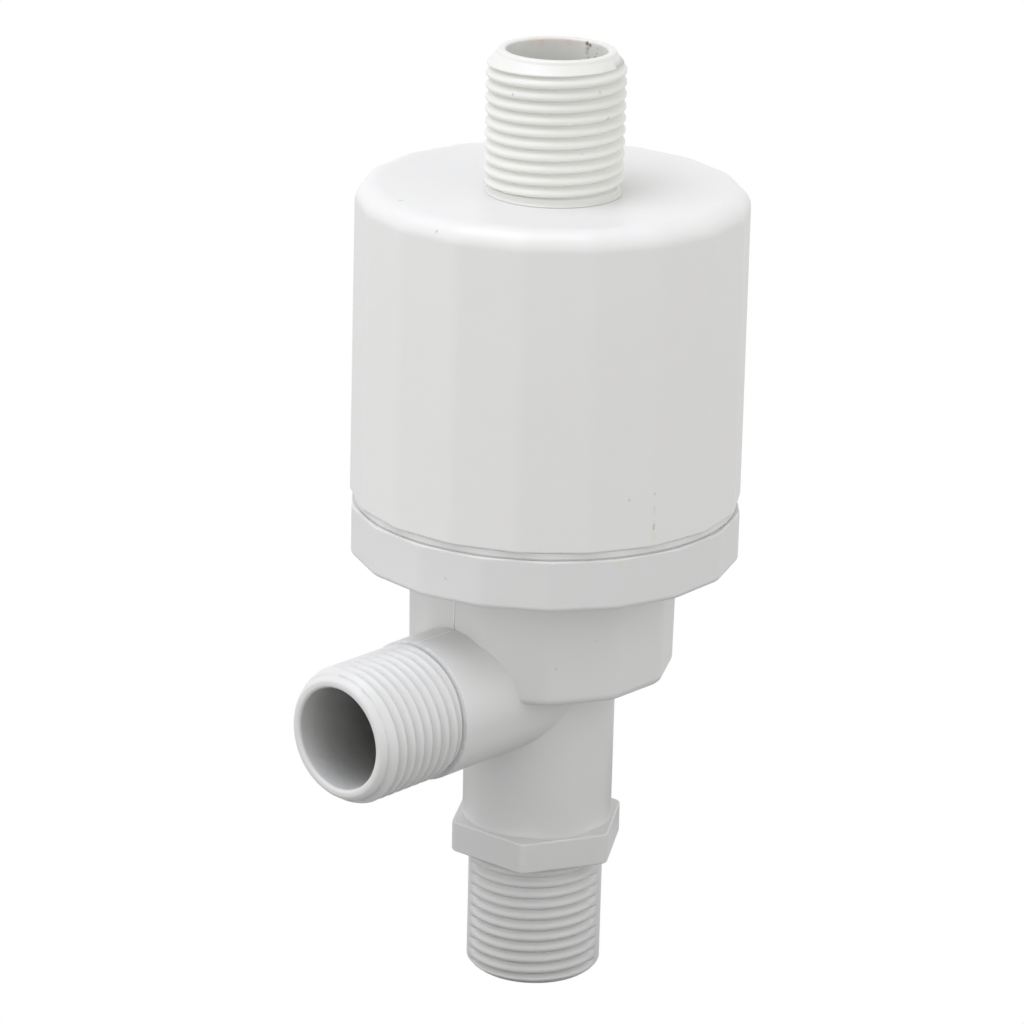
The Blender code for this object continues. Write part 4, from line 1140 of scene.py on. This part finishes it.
def bonnet_mesh():
    """Plate with tube socket, skirt, piston cylinder, ribs and nozzle boss."""
    plate = lathed("bonnet_fine", [
        (14.0, 66.4, 0.2), (15.45, 66.4, 0.3), (15.45, 76.1), (21.5, 76.1, 0.2),
        (21.5, 80.0, 0.5), (11.6, 80.0, 0.6), (11.6, 89.5, 0.3), (9.42, 89.5, 0.25),
        (9.42, 80.0), (7.6, 80.0, 0.1), (7.6, 76.1, 0.1), (14.0, 76.1)],
        120, closed=True)
    nozzle_deg = math.degrees(math.atan2(LEVER_Y, NOZZLE_X))
    nozzle_r = math.hypot(NOZZLE_X, LEVER_Y)
    outwards = Vector((NOZZLE_X, LEVER_Y, 0)).normalized()
    start = outwards * 9.2
    bleed_way = (math.sin(0.4), -math.cos(0.4), 0)
    join = [piston_cylinder()]
    join += [bonnet_rib(nozzle_deg + 90.0 * k) for k in range(4)]
    join.append(rod(3.2, 76.15, 82.0, cols=48, at=NOZZLE_AT, edge=0.25))
    cut = [
        # pilot passage: up from the cylinder, across, and up to the nozzle
        rod(0.8, 70.6, 78.25, cols=24, at=(start.x, start.y)),
        rod(0.55, 9.1, nozzle_r + 0.2, cols=20, turn=towards(outwards, (0, 0, 78.0))),
        rod(0.85, 77.75, 79.3, cols=24, at=NOZZLE_AT),
        # nozzle hole, and a bleed through the cylinder's wall
        rod(1.75, 79.0, 83.0, cols=40, at=NOZZLE_AT),
        rod(0.4, 9.0, 13.0, cols=16, turn=towards(bleed_way, (0, 0, 70.2)))]
    cut += [rod(1.25, 76.9, 81.0, at=(x, LEVER_Y)) for x in BRACKET_HOLES_X]
    return carve(plate, cut, join)


add(bonnet_mesh(), acetal)

# ------------------------------------------- lever bracket, its screws and the pins
BASE_Z0, BASE_Z1 = 80.1, 81.6


def bracket_mesh():
    """Plate with rounded corners and two ears for the pivot."""
    outline = []
    for x, y, start in ((5.6, 1.8, 0), (-8.8, 1.8, 90), (-8.8, -1.8, 180),
                        (5.6, -1.8, 270)):
        outline += arc_points(x, LEVER_Y + y, 1.0, start, start + 90, 6)
    plate = prism(outline, BASE_Z0, BASE_Z1, name="lever_bracket_fine")
    ear = [(PIVOT_X - 2.2, BASE_Z0 + 0.6), (PIVOT_X + 2.2, BASE_Z0 + 0.6)]
    ear += arc_points(PIVOT_X, PIVOT_Z, 2.2, 0, 180, 24)
    ears = [prism(ear, y, y + 1.4, "xz") for y in (LEVER_Y - 2.795, LEVER_Y + 1.395)]
    cut = [cross_hole(1.1, PIVOT_X, PIVOT_Z)]
    cut += [rod(1.3, BASE_Z0 - 1, BASE_Z1 + 1, at=(x, LEVER_Y))
            for x in BRACKET_HOLES_X]
    return carve(plate, cut, ears)


def bracket_screw(name, x):
    """Slotted screw with a low head on the bracket."""
    screw = lathed(name, [
        (0, 77.1), (1.1, 77.1, 0.2), (1.1, BASE_Z1 + 0.1), (1.9, BASE_Z1 + 0.1, 0.05),
        (1.9, BASE_Z1 + 0.8, 0.2), (1.3, BASE_Z1 + 1.3, 0.3), (0, BASE_Z1 + 1.3)],
        48, hold=0.02, at=(x, LEVER_Y))
    slot = rectangle(x - 2.2, x + 2.2, LEVER_Y - 0.3, LEVER_Y + 0.3)
    return carve(screw, [prism(slot, BASE_Z1 + 0.75, BASE_Z1 + 2.0)])


def headed_pin(name, x, z, tip_y, head_y, end_y, head_r, body):
    """Pin along Y with its head at the +Y end."""
    turned_piece(name, [
        (0, tip_y), (1.0, tip_y, 0.2), (1.0, head_y), (head_r, head_y, 0.1),
        (head_r, end_y, 0.3), (0, end_y)], steel, body, cols=48, closed=False,
        hold=0.02, turn=towards((0, 1, 0), (x, 0, z)))


add(bracket_mesh(), steel)
for k, x in enumerate(BRACKET_HOLES_X):
    add(bracket_screw(f"bracket_screw_{k + 1}_fine", x), steel)
headed_pin("lever_pin_fine", PIVOT_X, PIVOT_Z, LEVER_Y - 3.1, LEVER_Y + 2.9,
           LEVER_Y + 3.6, 1.7, "housing")
headed_pin("link_pin_fine", LINK_X, LINK_Z, LEVER_Y - 3.0, LEVER_Y + 2.9,
           LEVER_Y + 3.5, 1.6, "float")

# --------------------------------------------------------------- pilot lever
BAR = 1.2                        # half the lever's width and thickness
BOSS_R, END_R = 2.3, 2.0         # round the pivot and round the link pin


def link_slot():
    """Rod along Y, drawn out along the lever, for the link pin."""
    stretch = 0.42
    verts, faces = turned([(0, 10.0), (1.14, 10.0), (1.14, 20.0), (0, 20.0)],
                          circle_columns(40, start=4.5), closed=False)
    verts[:, 0] += np.sign(np.round(verts[:, 0], 6)) * stretch
    place = (Matrix.Translation((PIVOT_X, 0, PIVOT_Z))
             @ Matrix.Rotation(-math.radians(LEVER_TILT), 4, "Y")
             @ Matrix.Translation((LEVER_LENGTH - 0.17, 0, 0)) @ towards((0, 1, 0)))
    return smooth_mesh("tool", moved(verts, place), faces)


def lever_mesh():
    boss_gap = math.degrees(math.asin(BAR / BOSS_R))
    end_gap = math.degrees(math.asin(BAR / END_R))
    outline = [(-6.0, -BAR)]
    outline += arc_points(0, 0, BOSS_R, 180 + boss_gap, 360 + LEVER_TILT - boss_gap, 24)
    outline += arc_points(REACH_X, REACH_Z, END_R, 180 + LEVER_TILT + end_gap,
                          540 + LEVER_TILT - end_gap, 36)
    outline += arc_points(0, 0, BOSS_R, LEVER_TILT + boss_gap, 180 - boss_gap, 24)
    outline += [(-6.0, BAR)]
    bar = prism([(PIVOT_X + x, PIVOT_Z + z) for x, z in outline],
                LEVER_Y - BAR, LEVER_Y + BAR, "xz", "pilot_lever_fine")
    pad_cup = rod(2.7, PIVOT_Z - 1.9, PIVOT_Z + 1.2005, cols=48, at=NOZZLE_AT,
                  edge=0.15)
    pad_pocket = rod(1.97, PIVOT_Z - 3.0, PIVOT_Z, cols=40, at=NOZZLE_AT)
    mesh = carve(bar, [pad_pocket, cross_hole(1.12, PIVOT_X, PIVOT_Z), link_slot()],
                 [pad_cup])
    rotate_mesh(mesh, np.array(Matrix.Rotation(LEVER_DROP, 3, "Y")),
                (PIVOT_X, LEVER_Y, PIVOT_Z))
    return mesh


def link_mesh():
    """Plate under the float with two ears round the link pin."""
    plate = prism(rectangle(9.8, 17.3, 90.5, 91.9), LEVER_Y - 3.1, LEVER_Y + 3.1,
                  "xz", "float_link_fine")
    ear = [(LINK_X + 1.8, 91.0), (LINK_X - 1.8, 91.0)]
    ear += arc_points(LINK_X, LINK_Z, 1.8, 180, 360, 24)
    return carve(plate, [cross_hole(1.1, LINK_X, LINK_Z)],
                 [prism(ear, LEVER_Y - 2.8, LEVER_Y - 1.4, "xz"),
                  prism(ear, LEVER_Y + 1.4, LEVER_Y + 2.8, "xz")])


add(lever_mesh(), acetal, "lever")
add(link_mesh(), acetal, "float")

# ---------------------------------------------------------------------- light
# A light tent: bright above, a little darker below. The camera itself sees
# plain white behind the valve.
TENT_BASE, TENT_SKY = 0.188, 0.466   # even light, and what grows with height
HORIZON, HORIZON_POWER = 0.55, 4.0   # a level band of light
# soft patches of light: direction, tightness, strength
PATCHES = (((-0.25, -0.75, 0.75), 6.0, 0.506),
           ((0.9, 0.25, 0.45), 8.0, 0.603),
           ((-0.66, -0.60, 0.30), 6.0, 0.29))


def build_world():
    world = bpy.data.worlds.new("studio")
    bpy.context.scene.world = world
    g = Graph(world)
    ray = g.vector("NORMALIZE", g.node("TexCoord", {}, "Generated"))
    height = g.vector("DOT_PRODUCT", ray, (0, 0, 1), output="Value")
    sky = g.times(g.math("MULTIPLY_ADD", height, 0.5, 0.5), TENT_SKY)
    level = g.math("ADD", TENT_BASE, sky)
    flat = g.math("SUBTRACT", 1.0, g.times(height, height))
    band = g.times(g.math("POWER", flat, HORIZON_POWER), HORIZON)
    level = g.math("ADD", level, band)
    for direction, tightness, strength in PATCHES:
        facing = g.vector("DOT_PRODUCT", ray, Vector(direction).normalized(),
                          output="Value")
        patch = g.math("POWER", g.math("MAXIMUM", facing, 0.0), tightness)
        level = g.math("ADD", level, g.times(patch, strength))
    tent = g.nodes["Background"]
    g.feed(tent.inputs["Strength"], level)
    g.feed(tent.inputs["Color"], (1.0, 1.0, 1.0))
    plain = g.node("Background", {"Color": (1.0, 1.0, 1.0), "Strength": 1.0})
    seen = g.node("LightPath", {}, "Is Camera Ray")
    g.feed(g.nodes["World Output"].inputs["Surface"],
           g.blend(seen, tent.outputs[0], plain))


def build_soft_box():
    """Square lamp above, aimed at the middle of the valve; places in metres."""
    place = (-0.10, -0.20, 0.80)
    target = (0, AXIS.y * MM, 0.08)
    data = bpy.data.lights.new("soft_box_top", "AREA")
    data.shape = "RECTANGLE"
    data.size, data.size_y = 0.5, 0.5
    data.energy = 1.95
    data.color = (0.95, 0.97, 1.09)
    lamp = bpy.data.objects.new("soft_box_top", data)
    lamp.location = place
    aim = Vector(target) - Vector(place)
    lamp.rotation_euler = aim.to_track_quat("-Z", "Y").to_euler()
    bpy.context.scene.collection.objects.link(lamp)


def floor_material():
    """White to the camera. To other rays, a dark matt mat near the valve, clear
    beyond it, with a pale sheen near the foot in reflections: a painted reflection."""
    mat_radius = 100.0
    g = Material("floor_paper")
    g.put({"Base Color": g.mix(g.noise(scale=0.3, detail=4.0), (0.050, 0.050, 0.052),
                               (0.075, 0.075, 0.078)),
           "Roughness": 0.9})
    clear = g.node("BsdfTransparent", {})
    paper = g.node("Emission", {})
    distance = g.vector("LENGTH", g.place, output="Value")
    beyond = g.math("GREATER_THAN", distance, mat_radius)
    surface = g.blend(beyond, g.bsdf.outputs[0], clear)
    seen = g.node("LightPath", {}, output=None)
    # painted reflection: to glossy rays the floor near the foot glows, lightening the
    # valve's lower parts
    sheen = g.node("Emission", {
        "Strength": g.ramp(distance, start=57.0, end=78.0, low=0.68, high=0.08)})
    near = g.times(seen["Is Glossy Ray"], g.math("LESS_THAN", distance, mat_radius))
    surface = g.blend(near, surface, sheen)
    surface = g.blend(seen["Is Camera Ray"], surface, paper)
    g.feed(g.nodes["Material Output"].inputs["Surface"], surface)
    return g.material


build_world()
build_soft_box()
floor = bpy.data.objects.new("floor", lathed("floor", [
    (0, -2.6), (600.0, -2.6, 0.8), (600.0, -0.6), (0, -0.6)], 96, arc=7, hold=0.05))
bpy.context.scene.collection.objects.link(floor)
floor.data.materials.append(floor_material())

# --------------------------------------------------------------------- camera
FORWARD = Vector((-0.63210818, 0.70561465, -0.32022)).normalized()
ROLL = 0.0246                                 # radians about the line of sight
CAMERA_PLACE = (0.415985, -0.471842, 0.28712)     # metres from the main axis

camera_data = bpy.data.cameras.new("camera")
camera_data.sensor_width = 36.0
camera_data.lens = 152.70
camera_data.clip_start, camera_data.clip_end = 0.02, 20.0
camera = bpy.data.objects.new("camera", camera_data)
bpy.context.scene.collection.objects.link(camera)
right = FORWARD.cross(Vector((0, 0, 1))).normalized()
up = right.cross(FORWARD)
rolled_right = right * math.cos(ROLL) + up * math.sin(ROLL)
rolled_up = up * math.cos(ROLL) - right * math.sin(ROLL)
rotation = Matrix((rolled_right, rolled_up, -FORWARD)).transposed()
x, y, z = CAMERA_PLACE
camera.matrix_world = Matrix.Translation(
    (x + AXIS.x * MM, y + AXIS.y * MM, z)) @ rotation.to_4x4()

scene = bpy.context.scene
scene.camera = camera
scene.view_settings.view_transform = "Standard"
scene.view_settings.look = "None"
